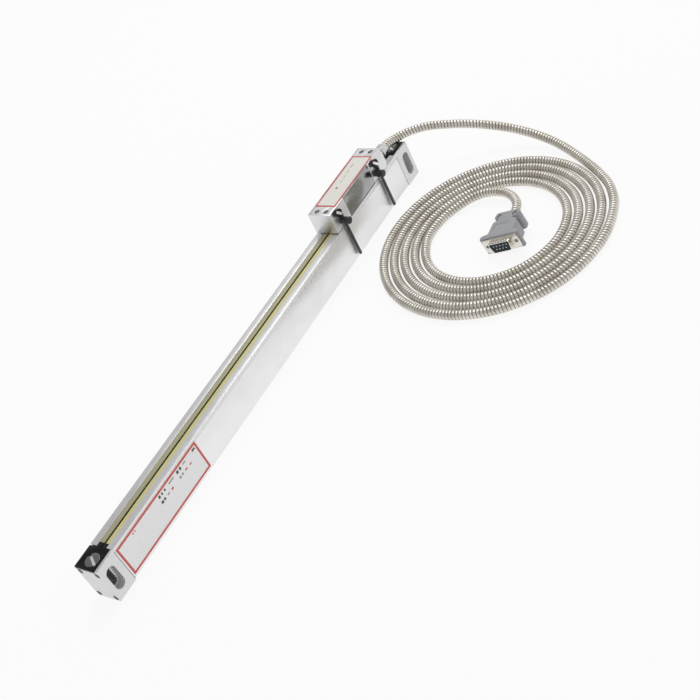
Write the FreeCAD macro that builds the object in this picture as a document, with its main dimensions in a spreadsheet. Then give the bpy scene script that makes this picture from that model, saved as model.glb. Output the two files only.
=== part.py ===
"""Enclosed linear encoder: a slotted aluminium scale with a sliding reader head, a metal hose and a plug.

Frame, in millimetres: +X along the scale, +Z up, z = 0 on the surface that the end blocks stand on.
The origin is below the near mounting slot, at mid width. The front side, with the label, faces -Y.
"""
import FreeCAD, Part
import math
import os
import re

Vector = FreeCAD.Vector

SIZES = {
    # slotted profile of the scale
    "section_width": 22.0,
    "profile_height": 31.2,
    "base_step": 1.3,
    "wall": 2.2,
    "floor_wall": 2.4,
    "rim_width": 6.3,
    "rim_depth": 7.0,
    "boss_width": 2.4,
    "boss_height": 3.1,
    "bead_depth": 1.0,
    "bead_height": 1.6,
    "bead_drop": 1.1,
    "line_depth": 0.3,
    "line_height": 0.5,
    "line_drop": 1.2,
    "line_pitch": 1.5,
    # end blocks, their gaskets, caps and screws
    "slot_spacing": 432.0,
    "slot_to_end": 8.0,
    "block_length": 18.0,
    "gasket_thickness": 0.7,
    "mount_slot_width": 5.8,
    "recess_margin": 1.5,
    "recess_depth": 6.5,
    "recess_rise": 5.7,
    "recess_drop": 4.2,
    "cap_thickness": 2.0,
    "cap_margin": 2.2,
    "plug_inset": 8.0,
    "plug_head_radius": 5.8,
    "plug_head_gap": 0.3,
    "plug_shank_radius": 2.5,
    "plug_shank_length": 4.0,
    "plug_slot_width": 1.4,
    "plug_slot_depth": 1.0,
    "tongue_length": 4.0,
    "tongue_width": 3.7,
    "tongue_gap": 1.0,
    "tongue_thickness": 1.3,
    "block_screw_inset": 2.8,
    "block_screw_drop": 4.7,
    "block_screw_rise": 2.9,
    "block_screw_radius": 1.0,
    "block_screw_bite": 8.0,
    "block_screw_head_radius": 2.2,
    "block_screw_head_height": 1.0,
    "hole_gap": 0.1,
    # seal lips, tape and side label
    "slit_half": 0.95,
    "lip_drop": 0.3,
    "lip_slope": 0.2,
    "lip_tip_thickness": 0.8,
    "lip_end_gap": 0.2,
    "tape_width": 10.0,
    "tape_thickness": 1.3,
    "carrier_thickness": 1.0,
    "tape_drop": 3.5,
    "tape_end_gap": 2.0,
    "label_start": 11.7,
    "label_length": 96.3,
    "label_low_margin": 2.1,
    "label_high_margin": 2.4,
    "label_thickness": 0.15,
    # reader head
    "head_place": 365.0,
    "head_length": 84.0,
    "head_height": 18.3,
    "head_gap": 0.7,
    "head_wall": 2.4,
    "head_roof": 4.0,
    "bolt_inset": 4.5,
    "bolt_spacing_across": 9.0,
    "bolt_hole_radius": 2.25,
    "bolt_hole_depth": 6.5,
    "cover_inset": 21.5,
    "cover_thickness": 0.8,
    "head_label_inset": 10.5,
    "head_label_margin": 1.1,
    "pocket_inset": 12.0,
    "ledge_length": 7.0,
    "plate_thickness": 1.5,
    "plate_gap": 0.1,
    "seal_thickness": 0.5,
    "seal_width": 1.6,
    "plate_screw_inset": 2.2,
    "plate_screw_radius": 1.0,
    "plate_screw_head_radius": 1.8,
    "plate_screw_head_height": 0.9,
    "plate_screw_bite": 2.4,
    "board_thickness": 1.6,
    "board_rise": 5.0,
    "board_gap": 0.1,
    "board_ledge": 2.0,
    "chip_side": 9.0,
    "chip_height": 1.4,
    # cable gland at the far end of the head
    "gland_offset": 2.5,
    "gland_rise": 7.3,
    "gland_radius": 4.0,
    "gland_bore": 2.5,
    "gland_bite": 10.0,
    "gland_neck": 7.0,
    "nut_length": 7.0,
    "nut_flats": 9.0,
    "gland_plate_thickness": 2.0,
    "gland_plate_edge": 1.6,
    "gland_plate_height": 12.0,
    "gland_screw_gap": 0.2,
    "gland_screw_radius": 1.25,
    "gland_screw_bite": 5.0,
    "gland_screw_head_radius": 1.9,
    "gland_screw_head_height": 2.0,
    # transport clips on the front side of the head
    "near_clip_inset": 7.8,
    "far_clip_inset": 14.9,
    "clip_screw_drop": 3.6,
    "clip_eye_radius": 2.8,
    "clip_standoff": 0.6,
    "clip_thickness": 1.6,
    "clip_width": 2.0,
    "near_strap_offset": 2.2,
    "far_strap_offset": 1.1,
    "clip_foot": 2.5,
    "clip_screw_radius": 2.0,
    "clip_screw_bite": 4.0,
    "clip_screw_head_radius": 3.5,
    "clip_screw_head_height": 1.5,
    "clip_slot_width": 1.6,
    "clip_slot_depth": 0.6,
    "near_stud_offset": 2.2,
    "far_stud_offset": -1.3,
    "stud_drop": 12.8,
    "stud_radius": 3.0,
    "stud_waist": 1.9,
    "stud_lobe": 2.4,
    "stud_neck": 1.2,
    "stud_shank_radius": 1.5,
    "stud_bite": 2.2,
    # scanning carriage inside the profile
    "carriage_length": 64.0,
    "carriage_front": 6.0,
    "carriage_rear": 2.4,
    "carriage_rise": 9.5,
    "carriage_top_gap": 1.5,
    "blade_inset": 8.0,
    "blade_thickness": 1.2,
    "blade_bite": 6.0,
    "web_length": 8.0,
    "web_thickness": 4.0,
    "web_floor_gap": 1.3,
    "wheel_inset": 8.0,
    "roller_radius": 4.0,
    "roller_width": 3.0,
    "roller_gap": 0.15,
    "roller_side_gap": 0.4,
    "well_gap": 0.7,
    "axle_radius": 1.25,
    "axle_gap": 0.05,
    "axle_end": 0.2,
    "sensor_board_gap": 2.0,
    "sensor_board_margin": 1.25,
    "sensor_gap": 0.6,
    "sensor_length": 10.0,
    "sensor_height": 7.0,
    "flex_width": 6.0,
    "flex_thickness": 0.2,
    "flex_drop": 1.4,
    "flex_relief": 0.5,
    # metal hose and its coil on the floor
    "hose_diameter": 7.4,
    "coil_place_along": 364.0,
    "coil_place_across": -121.3,
    "coil_radius": 93.5,
    "coil_pitch": 8.73,
    "coil_start": -70.0,
    "coil_half_turns": 9.0,
    # plug at the end of the hose
    "plug_along": 373.4,
    "plug_across": -137.3,
    "plug_yaw": 188.0,
    "plug_roll": 11.0,
    "hood_length": 28.6,
    "hood_thickness": 15.0,
    "hood_wall": 2.0,
    "hood_rear_half": 9.2,
    "hood_ear_half": 10.6,
    "hood_ear_start": 1.8,
    "hood_ear_end": 7.0,
    "hood_waist_half": 6.0,
    "hood_waist_start": 7.8,
    "hood_waist_end": 8.8,
    "hood_body_half": 10.2,
    "hood_body_start": 10.8,
    "hood_front_half": 10.8,
    "hood_wing_half": 16.4,
    "hood_wing_length": 5.0,
    "hood_wing_slope": 1.6,
    "hood_screw_place": 4.6,
    "hood_screw_side": 6.9,
    "hood_screw_radius": 1.25,
    "hood_screw_head_radius": 2.3,
    "hood_screw_head_height": 1.6,
    "hood_floor": 1.5,
    "flange_length": 30.8,
    "flange_height": 12.5,
    "flange_thickness": 1.0,
    "flange_hole_spacing": 25.0,
    "flange_hole_radius": 1.55,
    "shell_width": 18.4,
    "shell_height": 9.2,
    "shell_slope": 1.4,
    "shell_depth": 4.0,
    "shell_wall": 0.5,
    "insert_depth": 1.4,
    "pin_pitch": 2.76,
    "pin_row": 2.84,
    "pin_radius": 0.5,
    "pin_length": 2.2,
    # tools reach this far past a face that they cut through
    "overrun": 1.0,
}

# route of the hose from the gland to the coil, and from the coil to the plug
LEAD_ROUTE = [
    (421.0, -2.5, 40.5), (427.3, -2.5, 40.5), (435.2, -3.5, 38.6), (443.0, -7.3, 36.9),
    (449.9, -14.0, 36.6), (456.8, -26.0, 35.6), (464.8, -41.0, 31.0), (473.2, -62.0, 24.5),
    (479.0, -93.0, 14.5), (472.5, -128.0, 6.8), (452.0, -162.0, 3.75), (427.0, -192.5, 3.75),
    (409.135, -204.373, 3.75), (395.979, -209.161, 3.75),
]
TAIL_ROUTE = [
    (345.485, -70.345, 3.75), (353.98, -67.253, 3.75), (366.5, -66.8, 3.75), (380.0, -69.6, 3.75),
    (392.6, -76.6, 4.3), (402.3, -85.2, 5.4), (407.4, -97.0, 6.6), (407.2, -110.0, 7.6),
    (402.3, -121.5, 8.8), (393.8, -130.6, 9.8), (385.28, -135.63, 10.491), (373.4, -137.3, 10.491),
]
ARC_SHARE = 0.45

# grooves below each rim, and pins in the two rows of the connector
GROOVE_COUNT = 2
UPPER_PIN_COUNT = 5
LOWER_PIN_COUNT = 4

ALONG_X = FreeCAD.Rotation(Vector(0, 1, 0), 90)
ALONG_Y = FreeCAD.Rotation(Vector(1, 0, 0), -90)
UPRIGHT = FreeCAD.Rotation()

doc = FreeCAD.newDocument("LinearEncoder")
sheet = doc.addObject("Spreadsheet::Sheet", "Sizes")
for row, (alias, number) in enumerate(SIZES.items(), start=1):
    sheet.set(f"A{row}", alias)
    sheet.set(f"B{row}", str(number))
    sheet.setAlias(f"B{row}", alias)
doc.recompute()
size = {alias: float(sheet.get(alias)) for alias in SIZES}
nodes = {}


def formula(text):
    """Expression on the sheet's cells, from a text that names them."""
    return re.sub(r"[a-z][a-z_]+", lambda word: "Sizes." + word.group(0), text)


def place(piece, corner, turn=UPRIGHT):
    piece.Placement = FreeCAD.Placement(Vector(), turn)
    for axis, text in zip("xyz", corner):
        piece.setExpression(f"Placement.Base.{axis}", formula(text))
    return piece


def box(name, extent, corner):
    piece = doc.addObject("Part::Box", name)
    for side, text in zip(("Length", "Width", "Height"), extent):
        piece.setExpression(side, formula(text))
    return place(piece, corner)


def cylinder(name, radius, length, start, turn=UPRIGHT):
    piece = doc.addObject("Part::Cylinder", name)
    piece.setExpression("Radius", formula(radius))
    piece.setExpression("Height", formula(length))
    return place(piece, start, turn)


def fuse(name, pieces):
    joined = doc.addObject("Part::MultiFuse", name)
    joined.Shapes = pieces
    joined.Refine = True
    return joined


def cut(name, base, tools):
    left = doc.addObject("Part::Cut", name)
    left.Base = base
    left.Tool = tools[0] if len(tools) == 1 else fuse(name + "Tools", tools)
    left.Refine = True
    return left


def group(name, pieces):
    together = doc.addObject("Part::Compound", name)
    together.Links = pieces
    return together


def shaped(name, shape):
    piece = doc.addObject("Part::Feature", name)
    piece.Shape = shape
    return piece


def node(label, piece):
    piece.Label = label
    nodes[label] = piece
    return piece


def prism(points, direction):
    """Solid of a flat outline pushed along a direction."""
    return Part.Face(Part.makePolygon(points + points[:1])).extrude(direction)


def screw_set(name, rods, heads):
    """Group of screws, each of one rod and one head."""
    pairs = enumerate(zip(rods, heads))
    return group(name, [fuse(f"{name}{number}", [rod, head]) for number, (rod, head) in pairs])


# Places that several pieces of the scale share, as formulas on the sheet
TOP = "(base_step + profile_height)"
FRONT = "(-section_width/2)"
THROUGH = "section_width + 2*overrun"
PROFILE_START = "(block_length + gasket_thickness - slot_to_end)"
PROFILE_LENGTH = "(slot_spacing + 2*slot_to_end - 2*block_length - 2*gasket_thickness)"
CAVITY_FLOOR = "(base_step + floor_wall)"
CAVITY_SIDE = "(section_width/2 - wall)"
MOUTH_SIDE = "(section_width/2 - rim_width)"
RIM_BOTTOM = f"({TOP} - rim_depth)"
BLOCK_TOP = f"({TOP} - cap_thickness)"
BLOCK_INNER = "block_length + gasket_thickness"
SLOT_LOW = "(recess_rise + recess_margin + mount_slot_width/2)"
SLOT_HIGH = f"({BLOCK_TOP} - recess_drop - recess_margin - mount_slot_width/2)"
SCREW_SIDE = "(section_width/2 - block_screw_inset)"
SCREW_HEIGHTS = {"Low": "block_screw_rise", "High": f"{TOP} - block_screw_drop"}
SIDES = {"Front": "-1", "Rear": "1"}
STEPS = {"Near": "-1", "Far": "1"}
ENDS = ("near", "far")


def from_end(end, first, last):
    """Lower X of a span that is measured inwards from an outer end of the scale."""
    if end == "near":
        return f"({first}) - slot_to_end"
    return f"slot_spacing + slot_to_end - ({last})"


def block_screw_rods(name, end, radius, first, last):
    """Rods on the four screw axes of an end block, between two depths from the outer end."""
    rods = []
    length = f"({last}) - ({first})"
    for level, height in SCREW_HEIGHTS.items():
        for side, sign in SIDES.items():
            start = (from_end(end, first, last), f"{sign}*{SCREW_SIDE}", height)
            rods.append(cylinder(name + end + level + side, radius, length, start, ALONG_X))
    return rods


def make_profile():
    block = box("ProfileBlock", (PROFILE_LENGTH, "section_width", "profile_height"),
                (PROFILE_START, FRONT, "base_step"))
    start = f"{PROFILE_START} - overrun"
    length = f"{PROFILE_LENGTH} + 2*overrun"
    channel_side = f"({CAVITY_SIDE} - boss_width)"
    cavity_low = f"({CAVITY_FLOOR} + boss_height)"
    bead_side = f"({MOUTH_SIDE} + bead_depth)"
    tools = [
        box("ProfileChannel", (length, f"2*{channel_side}", "boss_height + overrun"),
            (start, f"-{channel_side}", CAVITY_FLOOR)),
        box("ProfileCavity", (length, f"2*{CAVITY_SIDE}", f"{RIM_BOTTOM} - {cavity_low}"),
            (start, f"-{CAVITY_SIDE}", cavity_low)),
        box("ProfileMouth", (length, f"2*{MOUTH_SIDE}", "rim_depth + 2*overrun"),
            (start, f"-{MOUTH_SIDE}", f"{RIM_BOTTOM} - overrun")),
        box("ProfileBeads", (length, f"2*{bead_side}", "bead_height"),
            (start, f"-{bead_side}", f"{TOP} - bead_drop - bead_height")),
    ]
    faces = {"Front": f"{FRONT} - overrun", "Rear": "section_width/2 - line_depth"}
    for side, across in faces.items():
        for number in range(GROOVE_COUNT):
            low = f"{TOP} - line_drop - line_height - {number}*line_pitch"
            tools.append(box(f"ProfileLine{side}{number}", (length, "line_depth + overrun", "line_height"),
                             (start, across, low)))
    for end in ENDS:
        tools += block_screw_rods("ProfileHole", end, "block_screw_radius",
                                  f"{BLOCK_INNER} - overrun", f"{BLOCK_INNER} + block_screw_bite")
    node("housing_profile", cut("HousingProfile", block, tools))


def make_lips():
    """Two soft lips, held by a bead in each rim, that close the mouth up to a narrow slit."""
    inset = size["block_length"] + size["tongue_length"] - size["slot_to_end"] + size["lip_end_gap"]
    length = size["slot_spacing"] - 2 * inset
    root = size["section_width"] / 2 - size["rim_width"]
    bead = root + size["bead_depth"]
    top = size["base_step"] + size["profile_height"]
    high = top - size["bead_drop"]
    low = high - size["bead_height"]
    face = top - size["lip_drop"]
    tip = size["slit_half"]
    tip_high = face - size["lip_slope"]
    tip_low = tip_high - size["lip_tip_thickness"]
    outline = [(bead, low), (bead, high), (root, high), (root, face), (tip, tip_high), (tip, tip_low),
               (root, low)]
    for label, sign in {"front_seal_lip": -1, "rear_seal_lip": 1}.items():
        points = [Vector(inset, sign * across, height) for across, height in outline]
        node(label, shaped(label.title().replace("_", ""), prism(points, Vector(length, 0, 0))))


def make_tape():
    start = f"{PROFILE_START} + tape_end_gap"
    length = f"{PROFILE_LENGTH} - 2*tape_end_gap"
    low = f"{RIM_BOTTOM} - tape_drop - tape_width"
    carrier_side = f"({CAVITY_SIDE} - carrier_thickness)"
    node("tape_carrier", box("TapeCarrier", (length, "carrier_thickness", "tape_width"),
                             (start, carrier_side, low)))
    node("magnetic_tape", box("MagneticTape", (length, "tape_thickness", "tape_width"),
                              (start, f"{carrier_side} - tape_thickness", low)))


def oblong(name, along, radius, depth):
    """Upright oblong cutter that comes in from the front of the scale."""
    first = f"{FRONT} - overrun"
    return [
        box(name + "Middle", (f"2*({radius})", depth, f"{SLOT_HIGH} - {SLOT_LOW}"),
            (f"{along} - ({radius})", first, SLOT_LOW)),
        cylinder(name + "Low", radius, depth, (along, first, SLOT_LOW), ALONG_Y),
        cylinder(name + "High", radius, depth, (along, first, SLOT_HIGH), ALONG_Y),
    ]


def make_end_block(end):
    name = f"{end}Block"
    slot = "0" if end == "near" else "slot_spacing"
    blank = box(name + "Blank", ("block_length", "section_width", BLOCK_TOP),
                (from_end(end, "0", "block_length"), FRONT, "0"))
    rib = box(name + "Rib", (BLOCK_INNER, "cap_margin", "cap_thickness"),
              (from_end(end, "0", BLOCK_INNER), FRONT, BLOCK_TOP))
    block = fuse(name + "Body", [blank, rib])
    tools = oblong(name + "Slot", slot, "mount_slot_width/2", THROUGH)
    tools += oblong(name + "Recess", slot, "mount_slot_width/2 + recess_margin", "recess_depth + overrun")
    tools += block_screw_rods("BlockHole", end, "block_screw_radius + hole_gap",
                              "0 - overrun", "block_length + overrun")
    tools += block_screw_rods("BlockSeat", end, "block_screw_head_radius + hole_gap",
                              "0 - overrun", "block_screw_head_height")
    tools.append(cylinder(name + "PlugHole", "plug_shank_radius", "plug_shank_length + overrun",
                          (from_end(end, "plug_inset", "plug_inset"), "0",
                           f"{BLOCK_TOP} - plug_shank_length")))
    node(f"{end}_end_block", cut(name, block, tools))

    rods = block_screw_rods("BlockRod", end, "block_screw_radius",
                            "block_screw_head_height", f"{BLOCK_INNER} + block_screw_bite")
    heads = block_screw_rods("BlockHead", end, "block_screw_head_radius", "0", "block_screw_head_height")
    node(f"{end}_block_screws", screw_set(name + "Screws", rods, heads))

    gasket = box(name + "GasketSheet", ("gasket_thickness", "section_width", f"{BLOCK_TOP} - base_step"),
                 (from_end(end, "block_length", BLOCK_INNER), FRONT, "base_step"))
    holes = block_screw_rods("GasketHole", end, "block_screw_radius + hole_gap",
                             "block_length - overrun", f"{BLOCK_INNER} + overrun")
    node(f"{end}_end_gasket", cut(name + "Gasket", gasket, holes))


def make_end_cap(end):
    """Thin cap behind the end block's front rib, with two tongues in the mouth and a slotted plug screw."""
    name = f"{end}Cap"
    plug = from_end(end, "plug_inset", "plug_inset")
    plate = box(name + "Plate", ("block_length", "section_width - cap_margin", "cap_thickness"),
                (from_end(end, "0", "block_length"), f"{FRONT} + cap_margin", BLOCK_TOP))
    tongues = []
    for side, across in {"Front": "-tongue_gap/2 - tongue_width", "Rear": "tongue_gap/2"}.items():
        start = from_end(end, "block_length - overrun", "block_length + tongue_length")
        tongues.append(box(f"{name}Tongue{side}", ("tongue_length + overrun", "tongue_width",
                                                   "tongue_thickness"),
                           (start, across, f"{TOP} - tongue_thickness")))
    hole = cylinder(name + "Hole", "plug_head_radius + plug_head_gap", "cap_thickness + 2*overrun",
                    (plug, "0", f"{BLOCK_TOP} - overrun"))
    node(f"{end}_end_cap", cut(name, fuse(name + "Body", [plate] + tongues), [hole]))

    head = cylinder(name + "PlugHead", "plug_head_radius", "cap_thickness", (plug, "0", BLOCK_TOP))
    shank = cylinder(name + "PlugShank", "plug_shank_radius", "plug_shank_length",
                     (plug, "0", f"{BLOCK_TOP} - plug_shank_length"))
    groove = box(name + "PlugGroove", ("2*plug_head_radius + 2*overrun", "plug_slot_width",
                                       "plug_slot_depth + overrun"),
                 (f"{plug} - plug_head_radius - overrun", "-plug_slot_width/2", f"{TOP} - plug_slot_depth"))
    node(f"{end}_plug_screw", cut(name + "Plug", fuse(name + "PlugBody", [head, shank]), [groove]))


def make_side_label():
    height = "profile_height - label_low_margin - label_high_margin"
    node("side_label", box("SideLabel", ("label_length", "label_thickness", height),
                           ("label_start", f"{FRONT} - label_thickness", "base_step + label_low_margin")))


# Places that several pieces of the reader head share
HEAD_BOTTOM = f"({TOP} + head_gap)"
HEAD_TOP = f"({HEAD_BOTTOM} + head_height)"
HEAD_START = "(head_place - head_length/2)"
HEAD_END = "(head_place + head_length/2)"
BELOW_HEAD = f"{HEAD_BOTTOM} - overrun"
COVER_LENGTH = "(head_length - 2*cover_inset)"
COVER_START = f"(head_place - {COVER_LENGTH}/2)"
COVER_INSIDE = ("section_width - 2*cover_thickness", "head_height - cover_thickness + overrun")
POCKET_LENGTH = "(head_length - 2*pocket_inset)"
POCKET_START = f"(head_place - {POCKET_LENGTH}/2)"
CAVITY_LENGTH = f"({POCKET_LENGTH} - 2*ledge_length)"
CAVITY_START = f"(head_place - {CAVITY_LENGTH}/2)"
CAVITY_WIDTH = "(section_width - 2*head_wall)"
PLATE_TOP = f"({HEAD_BOTTOM} + plate_thickness)"
SEAL_TOP = f"({PLATE_TOP} + seal_thickness)"
BOARD_BOTTOM = f"({SEAL_TOP} + board_rise)"
BOARD_TOP = f"({BOARD_BOTTOM} + board_thickness)"
PLATE_SCREW_ALONG = f"({CAVITY_LENGTH}/2 + ledge_length/2)"
PLATE_SCREW_SIDE = f"({CAVITY_WIDTH}/2 - plate_screw_inset)"
GLAND_HEIGHT = f"({HEAD_BOTTOM} + gland_rise)"
GLAND_SIDE = "(-gland_offset)"
GLAND_SCREW_SIDE = "(gland_offset + gland_radius + gland_screw_gap + gland_screw_head_radius)"
GLAND_PLATE_SIDE = f"({GLAND_SCREW_SIDE} + gland_plate_edge)"
BLADE_LENGTH = f"({POCKET_LENGTH} - 2*blade_inset)"
BLADE_START = f"(head_place - {BLADE_LENGTH}/2)"
FLEX_START = "(head_place - flex_width/2)"
CLIP_SCREWS = {"near": f"({HEAD_START} + near_clip_inset)", "far": f"({HEAD_END} - far_clip_inset)"}
CLIP_HEIGHT = f"({HEAD_TOP} - clip_screw_drop)"
CLIP_FACE = f"({FRONT} - clip_standoff - clip_thickness)"
STUD_HEIGHT = f"({HEAD_TOP} - stud_drop)"


def plate_screw_rods(name, radius, low, height):
    """Rods on the four screw axes of the base plate."""
    rods = []
    for step, along in STEPS.items():
        for side, across in SIDES.items():
            start = (f"head_place + {along}*{PLATE_SCREW_ALONG}", f"{across}*{PLATE_SCREW_SIDE}", low)
            rods.append(cylinder(name + step + side, radius, height, start))
    return rods


def gland_screw_rods(name, radius, first, length):
    """Rods on the two screw axes of the gland plate."""
    rods = []
    for side, sign in SIDES.items():
        start = (first, f"{sign}*{GLAND_SCREW_SIDE}", GLAND_HEIGHT)
        rods.append(cylinder(name + side, radius, length, start, ALONG_X))
    return rods


def make_head_body():
    block = box("HeadBlock", ("head_length", "section_width", "head_height"),
                (HEAD_START, FRONT, HEAD_BOTTOM))
    around = box("HeadAround", (COVER_LENGTH, THROUGH, "head_height + 2*overrun"),
                 (COVER_START, f"{FRONT} - overrun", BELOW_HEAD))
    core = box("HeadCore", (f"{COVER_LENGTH} + 2*overrun",) + COVER_INSIDE,
               (f"{COVER_START} - overrun", f"{FRONT} + cover_thickness", BELOW_HEAD))
    cavity_side = f"-{CAVITY_WIDTH}/2"
    tools = [
        cut("HeadRebate", around, [core]),
        box("HeadPocket", (POCKET_LENGTH, CAVITY_WIDTH, "plate_thickness + seal_thickness + overrun"),
            (POCKET_START, cavity_side, BELOW_HEAD)),
        box("HeadCavity", (CAVITY_LENGTH, CAVITY_WIDTH, f"{BOARD_TOP} - {HEAD_BOTTOM} + overrun"),
            (CAVITY_START, cavity_side, BELOW_HEAD)),
        box("HeadUpperCavity", (f"{CAVITY_LENGTH} - 2*board_ledge", CAVITY_WIDTH,
                                "head_height - head_roof + overrun"),
            (f"{CAVITY_START} + board_ledge", cavity_side, BELOW_HEAD)),
        cylinder("HeadGlandHole", "gland_radius", "pocket_inset + ledge_length + 2*overrun",
                 (f"{CAVITY_START} + {CAVITY_LENGTH} - overrun", GLAND_SIDE, GLAND_HEIGHT), ALONG_X),
    ]
    for step, along in STEPS.items():
        for side, across in SIDES.items():
            start = (f"head_place + {along}*(head_length/2 - bolt_inset)", f"{across}*bolt_spacing_across/2",
                     f"{HEAD_TOP} - bolt_hole_depth")
            tools.append(cylinder(f"HeadBolt{step}{side}", "bolt_hole_radius", "bolt_hole_depth + overrun",
                                  start))
    tools += plate_screw_rods("HeadPlateHole", "plate_screw_radius", f"{SEAL_TOP} - overrun",
                              "plate_screw_bite + overrun")
    tools += gland_screw_rods("HeadGlandScrewHole", "gland_screw_radius",
                              f"{HEAD_END} - gland_screw_bite", "gland_screw_bite + overrun")
    for end, along in CLIP_SCREWS.items():
        tools.append(cylinder(f"HeadClipHole{end}", "clip_screw_radius", "clip_screw_bite + overrun",
                              (along, f"{FRONT} - overrun", CLIP_HEIGHT), ALONG_Y))
        tools.append(cylinder(f"HeadStudHole{end}", "stud_shank_radius", "stud_bite + overrun",
                              (f"{along} + {end}_stud_offset", f"{FRONT} - overrun", STUD_HEIGHT), ALONG_Y))
    node("head_body", cut("HeadBody", block, tools))


def make_head_cover():
    outer = box("CoverOuter", (COVER_LENGTH, "section_width", "head_height"),
                (COVER_START, FRONT, HEAD_BOTTOM))
    inside = box("CoverInside", (f"{COVER_LENGTH} + 2*overrun",) + COVER_INSIDE,
                 (f"{COVER_START} - overrun", f"{FRONT} + cover_thickness", BELOW_HEAD))
    node("head_cover", cut("HeadCover", outer, [inside]))
    node("head_label", box("HeadLabel", ("head_length - 2*head_label_inset",
                                         "section_width - 2*head_label_margin", "label_thickness"),
                           (f"{HEAD_START} + head_label_inset", f"{FRONT} + head_label_margin", HEAD_TOP)))


def make_head_base():
    """Base plate and its seal in the pocket below the head, with four screws from below."""
    sheet_length = f"{POCKET_LENGTH} - 2*plate_gap"
    sheet_width = f"{CAVITY_WIDTH} - 2*plate_gap"
    sheet_start = f"{POCKET_START} + plate_gap"
    sheet_side = f"-{CAVITY_WIDTH}/2 + plate_gap"
    plate = box("BaseSheet", (sheet_length, sheet_width, "plate_thickness"),
                (sheet_start, sheet_side, HEAD_BOTTOM))
    through = "plate_thickness + 2*overrun"
    tools = plate_screw_rods("BaseHole", "plate_screw_radius + hole_gap", BELOW_HEAD, through)
    tools += plate_screw_rods("BaseSeat", "plate_screw_head_radius + hole_gap", BELOW_HEAD,
                              "plate_screw_head_height + overrun")
    tools.append(box("BaseBladeSlot", (BLADE_LENGTH, "blade_thickness", through),
                     (BLADE_START, "-blade_thickness/2", BELOW_HEAD)))
    tools.append(box("BaseFlexSlot", ("flex_width + 2*flex_relief",
                                      "flex_thickness + flex_relief + blade_thickness/2", through),
                     (f"{FLEX_START} - flex_relief", "0", BELOW_HEAD)))
    node("head_base_plate", cut("HeadBasePlate", plate, tools))

    frame = box("SealSheet", (sheet_length, sheet_width, "seal_thickness"),
                (sheet_start, sheet_side, PLATE_TOP))
    through = "seal_thickness + 2*overrun"
    opening = box("SealOpening", (CAVITY_LENGTH, f"{CAVITY_WIDTH} - 2*seal_width", through),
                  (CAVITY_START, f"-{CAVITY_WIDTH}/2 + seal_width", f"{PLATE_TOP} - overrun"))
    holes = plate_screw_rods("SealHole", "plate_screw_radius + hole_gap", f"{PLATE_TOP} - overrun", through)
    node("head_base_seal", cut("HeadBaseSeal", frame, [opening] + holes))

    reach = "plate_thickness + seal_thickness + plate_screw_bite - plate_screw_head_height"
    rods = plate_screw_rods("BaseRod", "plate_screw_radius", f"{HEAD_BOTTOM} + plate_screw_head_height",
                            reach)
    heads = plate_screw_rods("BaseHead", "plate_screw_head_radius", HEAD_BOTTOM, "plate_screw_head_height")
    node("base_plate_screws", screw_set("BaseScrews", rods, heads))


def make_head_board():
    node("head_board", box("HeadBoard", (f"{CAVITY_LENGTH} - 2*board_gap", f"{CAVITY_WIDTH} - 2*board_gap",
                                         "board_thickness"),
                           (f"{CAVITY_START} + board_gap", f"-{CAVITY_WIDTH}/2 + board_gap", BOARD_BOTTOM)))
    chips = []
    for name, along in {"Near": "-1", "Middle": "0", "Far": "1"}.items():
        start = f"head_place + {along}*{CAVITY_LENGTH}/4 - chip_side/2"
        chips.append(box(f"Chip{name}", ("chip_side", "chip_side", "chip_height"),
                         (start, "-chip_side/2", BOARD_TOP)))
    node("board_chips", group("BoardChips", chips))


def make_gland():
    """Gland in the far end of the head, its plate with two screws, and the hose nut."""
    start = f"{HEAD_END} - gland_bite"
    neck = cylinder("GlandNeck", "gland_radius", "gland_bite + gland_neck",
                    (start, GLAND_SIDE, GLAND_HEIGHT), ALONG_X)
    bore = cylinder("GlandBore", "gland_bore", "gland_bite + gland_neck + 2*overrun",
                    (f"{start} - overrun", GLAND_SIDE, GLAND_HEIGHT), ALONG_X)
    node("cable_gland", cut("CableGland", neck, [bore]))

    corner = size["nut_flats"] / math.sqrt(3)
    rise = size["base_step"] + size["profile_height"] + size["head_gap"] + size["gland_rise"]
    along = size["head_place"] + size["head_length"] / 2 + size["gland_neck"]
    base = Vector(along, -size["gland_offset"], rise)
    angles = [math.radians(60 * number) for number in range(6)]
    hexagon = [base + Vector(0, math.cos(angle), math.sin(angle)) * corner for angle in angles]
    blank = shaped("NutBlank", prism(hexagon, Vector(size["nut_length"], 0, 0)))
    nut_bore = cylinder("NutBore", "gland_bore", "nut_length + 2*overrun",
                        (f"{HEAD_END} + gland_neck - overrun", GLAND_SIDE, GLAND_HEIGHT), ALONG_X)
    node("gland_nut", cut("GlandNut", blank, [nut_bore]))

    plate = box("GlandSheet", ("gland_plate_thickness", f"2*{GLAND_PLATE_SIDE}", "gland_plate_height"),
                (HEAD_END, f"-{GLAND_PLATE_SIDE}", f"{GLAND_HEIGHT} - gland_plate_height/2"))
    through = "gland_plate_thickness + 2*overrun"
    holes = [cylinder("GlandSheetHole", "gland_radius", through,
                      (f"{HEAD_END} - overrun", GLAND_SIDE, GLAND_HEIGHT), ALONG_X)]
    holes += gland_screw_rods("GlandSheetScrewHole", "gland_screw_radius + hole_gap",
                              f"{HEAD_END} - overrun", through)
    node("gland_plate", cut("GlandPlate", plate, holes))

    rods = gland_screw_rods("GlandRod", "gland_screw_radius", f"{HEAD_END} - gland_screw_bite",
                            "gland_screw_bite + gland_plate_thickness")
    heads = gland_screw_rods("GlandHead", "gland_screw_head_radius", f"{HEAD_END} + gland_plate_thickness",
                             "gland_screw_head_height")
    node("gland_plate_screws", screw_set("GlandScrews", rods, heads))


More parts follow.
